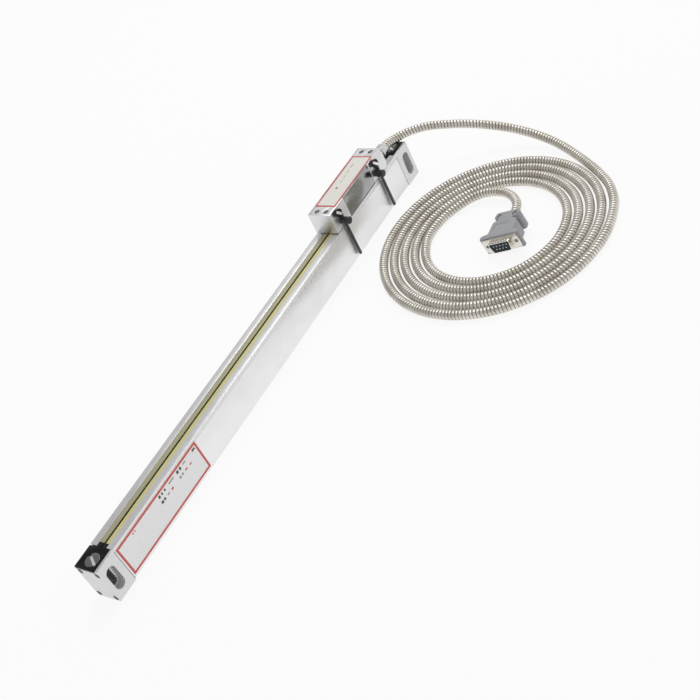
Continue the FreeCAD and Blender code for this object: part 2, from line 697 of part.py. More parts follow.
def make_clip(end):
    """Transport clip: an eye on the head, a stud beside it and a strap down the front of the profile."""
    along = CLIP_SCREWS[end]
    stud = f"({along} + {end}_stud_offset)"
    depth = "clip_standoff + clip_thickness"
    through = f"{depth} + 2*overrun"
    before = f"{CLIP_FACE} - overrun"
    body = fuse(f"{end}ClipBody", [
        cylinder(f"{end}ClipEye", "clip_eye_radius", depth, (along, CLIP_FACE, CLIP_HEIGHT), ALONG_Y),
        cylinder(f"{end}ClipLowerEye", "clip_eye_radius", depth, (stud, CLIP_FACE, STUD_HEIGHT), ALONG_Y),
        box(f"{end}ClipStrap", ("clip_width", "clip_thickness", f"{CLIP_HEIGHT} - clip_foot"),
            (f"{along} + {end}_strap_offset", CLIP_FACE, "clip_foot")),
    ])
    holes = [
        cylinder(f"{end}ClipHole", "clip_screw_radius + hole_gap", through, (along, before, CLIP_HEIGHT),
                 ALONG_Y),
        cylinder(f"{end}ClipStudHole", "stud_shank_radius + hole_gap", through, (stud, before, STUD_HEIGHT),
                 ALONG_Y),
    ]
    node(f"{end}_transport_clip", cut(f"{end}Clip", body, holes))

    head_face = f"{CLIP_FACE} - clip_screw_head_height"
    shank = cylinder(f"{end}ClipShank", "clip_screw_radius", f"clip_screw_bite + {depth}",
                     (along, CLIP_FACE, CLIP_HEIGHT), ALONG_Y)
    head = cylinder(f"{end}ClipHead", "clip_screw_head_radius", "clip_screw_head_height",
                    (along, head_face, CLIP_HEIGHT), ALONG_Y)
    groove = box(f"{end}ClipGroove", ("2*clip_screw_head_radius + 2*overrun", "clip_slot_depth + overrun",
                                      "clip_slot_width"),
                 (f"{along} - clip_screw_head_radius - overrun", f"{head_face} - overrun",
                  f"{CLIP_HEIGHT} - clip_slot_width/2"))
    node(f"{end}_clip_screw", cut(f"{end}ClipScrew", fuse(f"{end}ClipScrewBody", [shank, head]), [groove]))

    inner_face = f"{CLIP_FACE} - stud_lobe"
    neck_face = f"{inner_face} - stud_neck"
    outer_face = f"{neck_face} - stud_lobe"
    pieces = [
        cylinder(f"{end}StudShank", "stud_shank_radius", f"stud_bite + {depth}",
                 (stud, CLIP_FACE, STUD_HEIGHT), ALONG_Y),
        cylinder(f"{end}StudInner", "stud_radius", "stud_lobe", (stud, inner_face, STUD_HEIGHT), ALONG_Y),
        cylinder(f"{end}StudWaist", "stud_waist", "stud_neck", (stud, neck_face, STUD_HEIGHT), ALONG_Y),
        cylinder(f"{end}StudOuter", "stud_radius", "stud_lobe", (stud, outer_face, STUD_HEIGHT), ALONG_Y),
    ]
    node(f"{end}_clip_stud", fuse(f"{end}ClipStud", pieces))


# Places inside the scanning carriage
WHEEL_HEIGHT = f"({CAVITY_FLOOR} + roller_gap + roller_radius)"
WHEEL_SPACING = "(carriage_length - 2*wheel_inset)"
WHEELS = {"near": f"(head_place - {WHEEL_SPACING}/2)", "far": f"(head_place + {WHEEL_SPACING}/2)"}
CARRIAGE_TOP = f"({RIM_BOTTOM} - carriage_top_gap)"
ROLLER_INNER = "(web_thickness/2 + roller_side_gap)"


def make_carriage():
    pieces = [box("CarriageBlock", ("carriage_length", "carriage_front + carriage_rear",
                                    f"{CARRIAGE_TOP} - carriage_rise"),
                  ("head_place - carriage_length/2", "-carriage_front", "carriage_rise"))]
    tools = []
    web_low = f"({CAVITY_FLOOR} + web_floor_gap)"
    well_length = "2*roller_radius + 2*well_gap"
    well_height = f"{WHEEL_HEIGHT} + roller_radius + well_gap - carriage_rise + overrun"
    for end, along in WHEELS.items():
        pieces.append(box(f"{end}Web", ("web_length", "web_thickness",
                                        f"carriage_rise + overrun - {web_low}"),
                          (f"{along} - web_length/2", "-web_thickness/2", web_low)))
        tools.append(cylinder(f"{end}WebBore", "axle_radius + axle_gap", "web_thickness + 2*overrun",
                              (along, "-web_thickness/2 - overrun", WHEEL_HEIGHT), ALONG_Y))
        well_start = f"{along} - roller_radius - well_gap"
        tools.append(box(f"{end}FrontWell", (well_length, "carriage_front + overrun - web_thickness/2",
                                             well_height),
                         (well_start, "-carriage_front - overrun", "carriage_rise - overrun")))
        tools.append(box(f"{end}RearWell", (well_length, "carriage_rear + overrun - web_thickness/2",
                                            well_height),
                         (well_start, "web_thickness/2", "carriage_rise - overrun")))
    blade_low = f"{CARRIAGE_TOP} - blade_bite"
    flex_room = "flex_drop + flex_thickness + flex_relief"
    tools.append(box("CarriageBladeSlot", (BLADE_LENGTH, "blade_thickness", "blade_bite + overrun"),
                     (BLADE_START, "-blade_thickness/2", blade_low)))
    tools.append(box("CarriageFlexSlot", ("flex_width + 2*flex_relief", "carriage_rear + overrun",
                                          f"{flex_room} + overrun"),
                     (f"{FLEX_START} - flex_relief", "0", f"{CARRIAGE_TOP} - ({flex_room})")))
    node("scanning_carriage", cut("ScanningCarriage", fuse("CarriageBody", pieces), tools))
    node("coupling_blade", box("CouplingBlade", (BLADE_LENGTH, "blade_thickness",
                                                 f"{PLATE_TOP} - ({blade_low})"),
                               (BLADE_START, "-blade_thickness/2", blade_low)))


def make_wheels(end):
    along = WHEELS[end]
    half = f"({ROLLER_INNER} + roller_width + axle_end)"
    node(f"{end}_axle", cylinder(f"{end}Axle", "axle_radius", f"2*{half}",
                                 (along, f"-{half}", WHEEL_HEIGHT), ALONG_Y))
    rollers = []
    for side, across in {"Front": f"-{ROLLER_INNER} - roller_width", "Rear": ROLLER_INNER}.items():
        disc = cylinder(f"{end}Disc{side}", "roller_radius", "roller_width",
                        (along, across, WHEEL_HEIGHT), ALONG_Y)
        bore = cylinder(f"{end}DiscBore{side}", "axle_radius", "roller_width + 2*overrun",
                        (along, f"{across} - overrun", WHEEL_HEIGHT), ALONG_Y)
        rollers.append(cut(f"{end}Roller{side}", disc, [bore]))
    node(f"{end}_rollers", group(f"{end}Rollers", rollers))


def make_sensor():
    """Sensor on its board between the wheels, facing the tape, with a flex up to the head's board."""
    length = f"({WHEEL_SPACING} - 2*roller_radius - 2*sensor_board_gap)"
    low = "(carriage_rise + sensor_board_margin)"
    height = f"({CARRIAGE_TOP} - sensor_board_margin - {low})"
    node("sensor_board", box("SensorBoard", (length, "board_thickness", height),
                             (f"head_place - {length}/2", "carriage_rear", low)))
    tape_face = f"({CAVITY_SIDE} - carrier_thickness - tape_thickness)"
    depth = f"{tape_face} - sensor_gap - carriage_rear - board_thickness"
    node("sensor_chip", box("SensorChip", ("sensor_length", depth, "sensor_height"),
                            ("head_place - sensor_length/2", "carriage_rear + board_thickness",
                             f"{low} + {height}/2 - sensor_height/2")))
    flex_low = f"({CARRIAGE_TOP} - flex_drop - flex_thickness)"
    upright = box("FlexUpright", ("flex_width", "flex_thickness", f"{BOARD_BOTTOM} - {flex_low}"),
                  (FLEX_START, "blade_thickness/2", flex_low))
    foot = box("FlexFoot", ("flex_width", "carriage_rear - blade_thickness/2", "flex_thickness"),
               (FLEX_START, "blade_thickness/2", flex_low))
    node("sensor_flex", fuse("SensorFlex", [upright, foot]))


def hose(label, points):
    """Round tube on straight runs joined by tangent arcs, each as large as its runs allow."""
    path = [Vector(*point) for point in points]
    edges = []
    radii = []
    start = path[0]
    for before, corner, after in zip(path, path[1:], path[2:]):
        back = before - corner
        ahead = after - corner
        turn = math.pi - back.getAngle(ahead)
        reach = ARC_SHARE * min(back.Length, ahead.Length)
        radius = reach / math.tan(turn / 2)
        first = corner + back.normalize() * reach
        last = corner + ahead.normalize() * reach
        inwards = (back + ahead).normalize()
        middle = corner + inwards * (radius / math.cos(turn / 2) - radius)
        edges += [Part.LineSegment(start, first).toShape(), Part.Arc(first, middle, last).toShape()]
        radii.append(round(radius, 1))
        start = last
    edges.append(Part.LineSegment(start, path[-1]).toShape())
    line = Part.Wire(edges)
    section = Part.Wire(Part.makeCircle(size["hose_diameter"] / 2, path[0], path[1] - path[0]))
    tube = line.makePipeShell([section], True, True)
    expected = math.pi * size["hose_diameter"] ** 2 / 4 * line.Length
    print(f"{label}: length {line.Length:.1f} mm, volume share {tube.Volume / expected:.4f}, radii {radii}")
    node(label, shaped(label.title().replace("_", ""), tube))


def coil_edge(offset, first_half_turn):
    """Closed line of one turn of the flat spiral, in half circles; offset moves it outwards."""
    centre = Vector(size["coil_place_along"], size["coil_place_across"], 0)
    start = math.radians(size["coil_start"])
    axis = Vector(math.cos(start), math.sin(start), 0)
    across = Vector(math.sin(start), -math.cos(start), 0)
    half_pitch = size["coil_pitch"] / 2
    arcs = []
    for number in (first_half_turn, first_half_turn + 1):
        sign = 1 if number % 2 == 0 else -1
        first = size["coil_radius"] + offset - number * half_pitch
        last = first - half_pitch
        middle = centre + axis * (sign * half_pitch / 2) + across * (sign * (first + last) / 2)
        arc = Part.Arc(centre + axis * (sign * first), middle, centre - axis * (sign * last))
        arcs.append(arc.toShape())
    step = Part.LineSegment(arcs[-1].Vertexes[-1].Point, arcs[0].Vertexes[0].Point).toShape()
    return Part.Wire(Part.sortEdges(arcs + [step])[0])


def make_coil():
    """Outer shape of the flat coil, with a step where the hose comes in and one where it leaves."""
    half = size["hose_diameter"] / 2
    outer = Part.Face(coil_edge(half, 0))
    inner = Part.Face(coil_edge(-half, int(size["coil_half_turns"]) - 2))
    ring = outer.cut(inner).extrude(Vector(0, 0, size["hose_diameter"]))
    node("cable_coil", shaped("CableCoil", ring.Solids[0]))


def on_plug(piece):
    """Puts a piece, drawn from the cable entry forwards along X, at the end of the hose, on one wing."""
    yaw = FreeCAD.Rotation(Vector(0, 0, 1), size["plug_yaw"])
    roll = FreeCAD.Rotation(Vector(1, 0, 0), size["plug_roll"])
    lean = math.radians(size["plug_roll"])
    half = size["hood_thickness"] / 2
    rise = half * math.cos(lean) + size["hood_wing_half"] * math.sin(lean)
    entry = FreeCAD.Placement(Vector(size["plug_along"], size["plug_across"], rise), yaw.multiply(roll))
    piece.Placement = entry.multiply(FreeCAD.Placement(Vector(0, 0, -half), UPRIGHT))
    return piece


def hood_outline():
    wing_start = size["hood_length"] - size["hood_wing_length"]
    half = [
        (0.0, size["hood_rear_half"]),
        (size["hood_ear_start"], size["hood_ear_half"]),
        (size["hood_ear_end"], size["hood_ear_half"]),
        (size["hood_waist_start"], size["hood_waist_half"]),
        (size["hood_waist_end"], size["hood_waist_half"]),
        (size["hood_body_start"], size["hood_body_half"]),
        (wing_start, size["hood_front_half"]),
        (wing_start + size["hood_wing_slope"], size["hood_wing_half"]),
        (size["hood_length"], size["hood_wing_half"]),
    ]
    return half + [(along, -across) for along, across in reversed(half)]


def hood_screw_rods(radius, low, high):
    """Upright rods on the two screw axes of the hood."""
    rods = []
    for across in (-size["hood_screw_side"], size["hood_screw_side"]):
        rods.append(Part.makeCylinder(radius, high - low, Vector(size["hood_screw_place"], across, low)))
    return rods


def make_hood():
    """Two hood halves, hollow in front of the cable clamp, held by two screws from above."""
    middle = size["hood_thickness"] / 2
    hollow_start = size["hood_body_start"] + size["hood_wall"]
    hollow_half = size["hood_body_half"] - size["hood_wall"]
    hollow = Part.makeBox(size["hood_length"] - hollow_start, 2 * hollow_half,
                          size["hood_thickness"] - 2 * size["hood_wall"],
                          Vector(hollow_start, -hollow_half, size["hood_wall"]))
    seat = size["hood_thickness"] - size["hood_screw_head_height"]
    holes = hood_screw_rods(size["hood_screw_radius"] + size["hole_gap"], size["hood_floor"], seat)
    holes += hood_screw_rods(size["hood_screw_head_radius"] + size["hole_gap"], seat, size["hood_thickness"])
    for label, low in {"plug_hood_lower": 0.0, "plug_hood_upper": middle}.items():
        points = [Vector(along, across, low) for along, across in hood_outline()]
        shell = prism(points, Vector(0, 0, middle)).cut([hollow] + holes)
        node(label, on_plug(shaped(label.title().replace("_", ""), shell.Solids[0])))
    rods = hood_screw_rods(size["hood_screw_radius"], size["hood_floor"], seat)
    heads = hood_screw_rods(size["hood_screw_head_radius"], seat, size["hood_thickness"])
    screws = [rod.fuse(head).removeSplitter() for rod, head in zip(rods, heads)]
    node("hood_screws", on_plug(shaped("HoodScrews", Part.makeCompound(screws))))


def shell_outline(along, inset):
    """D shape of the connector, wide side up, drawn inwards by an inset."""
    middle = size["hood_thickness"] / 2
    high = size["shell_height"] / 2 - inset
    wide = size["shell_width"] / 2 - inset
    narrow = wide - size["shell_slope"]
    corners = [(-narrow, -high), (narrow, -high), (wide, high), (-wide, high)]
    return [Vector(along, across, middle + height) for across, height in corners]


def make_connector():
    """Nine pin connector on the front of the hood: flanged shell, insert and pins."""
    front = size["hood_length"]
    middle = size["hood_thickness"] / 2
    forwards = Vector(1, 0, 0)
    reach = size["flange_thickness"] + size["shell_depth"]
    flange = Part.makeBox(size["flange_thickness"], size["flange_length"], size["flange_height"],
                          Vector(front, -size["flange_length"] / 2, middle - size["flange_height"] / 2))
    body = flange.fuse(prism(shell_outline(front, 0.0), forwards * reach))
    before = front - size["overrun"]
    through = reach + 2 * size["overrun"]
    tools = [prism(shell_outline(before, size["shell_wall"]), forwards * through)]
    for side in (-1, 1):
        start = Vector(before, side * size["flange_hole_spacing"] / 2, middle)
        tools.append(Part.makeCylinder(size["flange_hole_radius"], through, start, forwards))
    node("plug_shell", on_plug(shaped("PlugShell", body.cut(tools).removeSplitter().Solids[0])))

    insert_length = size["flange_thickness"] + size["insert_depth"]
    insert = prism(shell_outline(front, size["shell_wall"]), forwards * insert_length)
    node("plug_insert", on_plug(shaped("PlugInsert", insert)))
    pins = []
    half_row = size["pin_row"] / 2
    for count, height in ((UPPER_PIN_COUNT, middle + half_row), (LOWER_PIN_COUNT, middle - half_row)):
        for number in range(count):
            across = (number - (count - 1) / 2) * size["pin_pitch"]
            foot = Vector(front + insert_length, across, height)
            pins.append(Part.makeCylinder(size["pin_radius"], size["pin_length"], foot, forwards))
    node("plug_pins", on_plug(shaped("PlugPins", Part.makeCompound(pins))))


make_profile()
make_lips()
make_tape()
for end in ENDS:
    make_end_block(end)
    make_end_cap(end)
make_side_label()
make_head_body()
make_head_cover()
make_head_base()
make_head_board()
make_gland()
for end in ENDS:
    make_clip(end)
make_carriage()
for end in ENDS:
    make_wheels(end)
make_sensor()
hose("cable_lead", LEAD_ROUTE)
make_coil()
hose("cable_tail", TAIL_ROUTE)
make_hood()
make_connector()
doc.recompute()

for piece in doc.Objects:
    if "Invalid" in piece.State or "Error" in piece.State:
        raise RuntimeError(f"{piece.Label} did not build: {piece.State}")
for label, piece in nodes.items():
    if piece.Shape.isNull() or not piece.Shape.isValid() or not piece.Shape.Solids:
        raise RuntimeError(f"{label} is not a valid solid")

os.makedirs("parts", exist_ok=True)
for label, piece in nodes.items():
    piece.Shape.exportStep(f"parts/{label}.step")
print(f"{len(nodes)} nodes written")
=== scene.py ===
import bpy
import math
from mathutils import Matrix, Vector


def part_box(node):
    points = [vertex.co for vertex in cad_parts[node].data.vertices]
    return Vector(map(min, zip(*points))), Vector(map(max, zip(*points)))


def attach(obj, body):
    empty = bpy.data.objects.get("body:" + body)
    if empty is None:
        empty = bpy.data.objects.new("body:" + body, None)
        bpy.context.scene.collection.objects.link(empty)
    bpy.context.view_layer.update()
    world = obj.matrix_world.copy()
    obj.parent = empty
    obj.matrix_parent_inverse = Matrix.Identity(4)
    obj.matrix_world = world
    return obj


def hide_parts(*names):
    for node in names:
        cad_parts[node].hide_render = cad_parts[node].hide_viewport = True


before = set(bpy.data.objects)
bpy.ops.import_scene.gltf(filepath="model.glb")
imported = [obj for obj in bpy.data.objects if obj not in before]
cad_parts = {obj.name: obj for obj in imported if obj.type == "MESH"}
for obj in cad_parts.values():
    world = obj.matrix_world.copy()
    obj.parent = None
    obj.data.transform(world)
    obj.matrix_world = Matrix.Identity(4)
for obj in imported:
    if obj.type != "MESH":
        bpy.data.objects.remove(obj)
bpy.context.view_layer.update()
mm = 0.001
weld = 0.002 * mm  # points nearer than this become one
slack = 0.01 * mm  # room in the tests of place
flatAngle = 0.5  # degrees; faces that meet at less are joined up
faceOn = 0.9  # a normal's share along an axis, from which a face looks that way
bpy.context.scene.view_settings.view_transform = "Standard"


# camera
cameraSettings = {
    "place": (-0.2426, -0.6091, 0.5605),
    "turn": (48.675, 22.321, -59.352),  # degrees about X, Y, Z; the photo leans to the left
    "lens": 63.476,
    "sensor": 36.0,
}


def makeCamera():
    turn = [math.radians(angle) for angle in cameraSettings["turn"]]
    bpy.ops.object.camera_add(location=cameraSettings["place"], rotation=turn)
    camera = bpy.context.object
    camera.data.lens = cameraSettings["lens"]
    camera.data.sensor_width = cameraSettings["sensor"]
    bpy.context.scene.camera = camera


makeCamera()
print("camera set")


# working helpers
def pick(piece):
    bpy.ops.object.select_all(action="DESELECT")
    piece.select_set(True)
    bpy.context.view_layer.objects.active = piece
    return piece


def openMesh(piece, mode="FACE"):
    pick(piece)
    bpy.ops.object.mode_set(mode="EDIT")
    bpy.ops.mesh.select_mode(type=mode)
    bpy.ops.mesh.select_all(action="DESELECT")


def closeMesh():
    bpy.ops.object.mode_set(mode="OBJECT")


def chooseFaces(piece, test):
    # leaves edit mode open with the faces selected that pass the test
    openMesh(piece, "FACE")
    closeMesh()
    for face in piece.data.polygons:
        face.select = test(face.center, face.normal)
    bpy.ops.object.mode_set(mode="EDIT")


def chooseEdges(piece, test):
    # the test gets both ends of each edge
    openMesh(piece, "EDGE")
    closeMesh()
    points = piece.data.vertices
    for edge in piece.data.edges:
        first, last = edge.vertices
        edge.select = test(points[first].co, points[last].co)
    bpy.ops.object.mode_set(mode="EDIT")


def outwardFaces(piece):
    openMesh(piece)
    bpy.ops.mesh.select_all(action="SELECT")
    bpy.ops.mesh.remove_doubles(threshold=weld)
    bpy.ops.mesh.normals_make_consistent(inside=False)
    closeMesh()


def copyNode(node, name):
    # merged copy of a CAD node, with its flat faces joined up
    piece = bpy.data.objects.new(name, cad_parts[node].data.copy())
    bpy.context.collection.objects.link(piece)
    pick(piece)
    bpy.ops.mesh.customdata_custom_splitnormals_clear()
    openMesh(piece)
    bpy.ops.mesh.select_all(action="SELECT")
    bpy.ops.mesh.remove_doubles(threshold=weld)
    bpy.ops.mesh.dissolve_limited(angle_limit=math.radians(flatAngle))
    closeMesh()
    return piece


def applyAll(piece):
    pick(piece)
    for modifier in list(piece.modifiers):
        bpy.ops.object.modifier_apply(modifier=modifier.name)


def breakEdges(piece, width, segments=2, angle=30):
    bevel = piece.modifiers.new("brokenEdges", "BEVEL")
    bevel.width = width
    bevel.segments = segments
    bevel.limit_method = "ANGLE"
    bevel.angle_limit = math.radians(angle)
    applyAll(piece)


def cutAway(piece, tool):
    boolean = piece.modifiers.new("cut", "BOOLEAN")
    boolean.object = tool
    boolean.operation = "DIFFERENCE"
    boolean.solver = "EXACT"
    applyAll(piece)
    bpy.data.objects.remove(tool)


def joinUp(pieces):
    pick(pieces[0])
    for piece in pieces:
        piece.select_set(True)
    bpy.ops.object.join()
    return pieces[0]


def fixPlace(piece):
    # place and turn go into the mesh
    pick(piece)
    bpy.ops.object.transform_apply(location=True, rotation=True, scale=True)
    return piece


def roundEdges(piece, width, segments, test):
    chooseEdges(piece, test)
    bpy.ops.mesh.bevel(offset=width, segments=segments, affect="EDGES")
    closeMesh()


def coat(piece, finish):
    piece.data.materials.clear()
    piece.data.materials.append(finishes[finish])
    return piece


def paint(piece, finish, test):
    # one more finish, on the faces that pass the test
    piece.data.materials.append(finishes[finish])
    chooseFaces(piece, test)
    piece.active_material_index = len(piece.data.materials) - 1
    bpy.ops.object.material_slot_assign()
    closeMesh()


def seat(piece, body, slot, *nodes, smooth=35):
    pick(piece)
    bpy.ops.object.shade_smooth_by_angle(angle=math.radians(smooth))
    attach(piece, body)
    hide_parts(*nodes)


def dress(node, name, body, slot, finish, edge, segments=2):
    # copy of a CAD node with broken edges and a finish
    piece = copyNode(node, name)
    breakEdges(piece, edge, segments)
    seat(coat(piece, finish), body, slot, node)
    return piece


# shared effects, each a node group
def startGroup(name, inputs, outputs):
    group = bpy.data.node_groups.new(name, "ShaderNodeTree")
    for socketName, kind, value in inputs:
        socket = group.interface.new_socket(name=socketName, in_out="INPUT",
                                            socket_type="NodeSocket" + kind)
        if value is not None:
            socket.default_value = value
    for socketName, kind in outputs:
        group.interface.new_socket(name=socketName, in_out="OUTPUT", socket_type="NodeSocket" + kind)
    return group, group.nodes.new("NodeGroupInput"), group.nodes.new("NodeGroupOutput")


def addNode(tree, kind, settings=None, values=None):
    node = tree.nodes.new("ShaderNode" + kind)
    for name, value in (settings or {}).items():
        setattr(node, name, value)
    for name, value in (values or {}).items():
        node.inputs[name].default_value = value
    return node


def makeGrain():
    # noise of a given size in mm, drawn out along each axis by the stretch
    group, given, result = startGroup(
        "grain",
        [("Vector", "Vector", None), ("Size", "Float", 0.5), ("Stretch", "Vector", (1, 1, 1))],
        [("Value", "Float")])
    stretched = addNode(group, "VectorMath", {"operation": "DIVIDE"})
    frequency = addNode(group, "Math", {"operation": "DIVIDE"}, {0: 1 / mm})
    noise = addNode(group, "TexNoise", None, {"Detail": 3.0, "Roughness": 0.55})
    group.links.new(given.outputs["Vector"], stretched.inputs[0])
    group.links.new(given.outputs["Stretch"], stretched.inputs[1])
    group.links.new(given.outputs["Size"], frequency.inputs[1])
    group.links.new(stretched.outputs["Vector"], noise.inputs["Vector"])
    group.links.new(frequency.outputs["Value"], noise.inputs["Scale"])
    group.links.new(noise.outputs["Fac"], result.inputs["Value"])
    return group


def makeHandling():
    # broad soft patches, as of handling and wiping
    group, given, result = startGroup(
        "handling", [("Vector", "Vector", None), ("Size", "Float", 20.0)], [("Value", "Float")])
    frequency = addNode(group, "Math", {"operation": "DIVIDE"}, {0: 1 / mm})
    noise = addNode(group, "TexNoise", None, {"Detail": 4.0, "Roughness": 0.6, "Distortion": 0.8})
    spread = addNode(group, "MapRange", {"interpolation_type": "SMOOTHSTEP"},
                     {"From Min": 0.3, "From Max": 0.7})
    group.links.new(given.outputs["Vector"], noise.inputs["Vector"])
    group.links.new(given.outputs["Size"], frequency.inputs[1])
    group.links.new(frequency.outputs["Value"], noise.inputs["Scale"])
    group.links.new(noise.outputs["Fac"], spread.inputs["Value"])
    group.links.new(spread.outputs["Result"], result.inputs["Value"])
    return group


def makeEdgeWear():
    # mask of the outer edges, broken up by a fine noise
    group, given, result = startGroup(
        "edgeWear", [("Vector", "Vector", None), ("Radius", "Float", 0.3 * mm)], [("Mask", "Float")])
    rounded = addNode(group, "Bevel", {"samples": 4})
    surface = addNode(group, "NewGeometry")
    facing = addNode(group, "VectorMath", {"operation": "DOT_PRODUCT"})
    edge = addNode(group, "MapRange", None, {"From Min": 0.995, "From Max": 0.9})
    noise = addNode(group, "TexNoise", None, {"Scale": 900.0, "Detail": 2.0})
    broken = addNode(group, "Math", {"operation": "MULTIPLY", "use_clamp": True})
    group.links.new(given.outputs["Radius"], rounded.inputs["Radius"])
    group.links.new(rounded.outputs["Normal"], facing.inputs[0])
    group.links.new(surface.outputs["Normal"], facing.inputs[1])
    group.links.new(facing.outputs["Value"], edge.inputs["Value"])
    group.links.new(given.outputs["Vector"], noise.inputs["Vector"])
    group.links.new(edge.outputs["Result"], broken.inputs[0])
    group.links.new(noise.outputs["Fac"], broken.inputs[1])
    group.links.new(broken.outputs["Value"], result.inputs["Mask"])
    return group


grainGroup = makeGrain()
handlingGroup = makeHandling()
edgeWearGroup = makeEdgeWear()


# finishes
def startMaterial(name):
    material = bpy.data.materials.new(name)
    material.use_nodes = True
    return material, material.node_tree, material.node_tree.nodes["Principled BSDF"]


def placeGroup(tree, group, vector, **values):
    node = tree.nodes.new("ShaderNodeGroup")
    node.node_tree = group
    tree.links.new(vector, node.inputs["Vector"])
    for name, value in values.items():
        node.inputs[name].default_value = value
    return node


def mixColours(tree, factor, first, second):
    # each colour is a fixed colour or another node's output
    mix = addNode(tree, "Mix", {"data_type": "RGBA"})
    tree.links.new(factor, mix.inputs[0])
    for socket, colour in ((mix.inputs[6], first), (mix.inputs[7], second)):
        if isinstance(colour, bpy.types.NodeSocket):
            tree.links.new(colour, socket)
        else:
            socket.default_value = (*colour, 1.0)
    return mix.outputs[2]


def ranged(tree, value, low, high):
    spread = addNode(tree, "MapRange", None, {"To Min": low, "To Max": high})
    tree.links.new(value, spread.inputs["Value"])
    return spread.outputs["Result"]


plainLook = {  # what holds where a finish says nothing else
    "metal": 0.0,
    "specular": 0.5,
    "stretch": (1, 1, 1),
    "relief": 0.2,
    "reliefDepth": 0.05 * mm,
    "wornWidth": 0.3,  # mm
}


def makeFinish(name, ownLook):
    # colour from grain, gloss from handling, light edges from wear, relief from grain
    look = {**plainLook, **ownLook}
    material, tree, shader = startMaterial(name)
    vector = addNode(tree, "TexCoord").outputs["Object"]
    grain = placeGroup(tree, grainGroup, vector, Size=look["grain"], Stretch=look["stretch"])
    handling = placeGroup(tree, handlingGroup, vector)
    colour = mixColours(tree, grain.outputs["Value"], look["dark"], look["light"])
    if "worn" in look:
        wear = placeGroup(tree, edgeWearGroup, vector, Radius=look["wornWidth"] * mm)
        colour = mixColours(tree, wear.outputs["Mask"], colour, look["worn"])
    tree.links.new(colour, shader.inputs["Base Color"])
    tree.links.new(ranged(tree, handling.outputs["Value"], *look["rough"]), shader.inputs["Roughness"])
    bump = addNode(tree, "Bump", None, {"Strength": look["relief"], "Distance": look["reliefDepth"]})
    tree.links.new(grain.outputs["Value"], bump.inputs["Height"])
    tree.links.new(bump.outputs["Normal"], shader.inputs["Normal"])
    shader.inputs["Metallic"].default_value = look["metal"]
    shader.inputs["Specular IOR Level"].default_value = look["specular"]
    return material


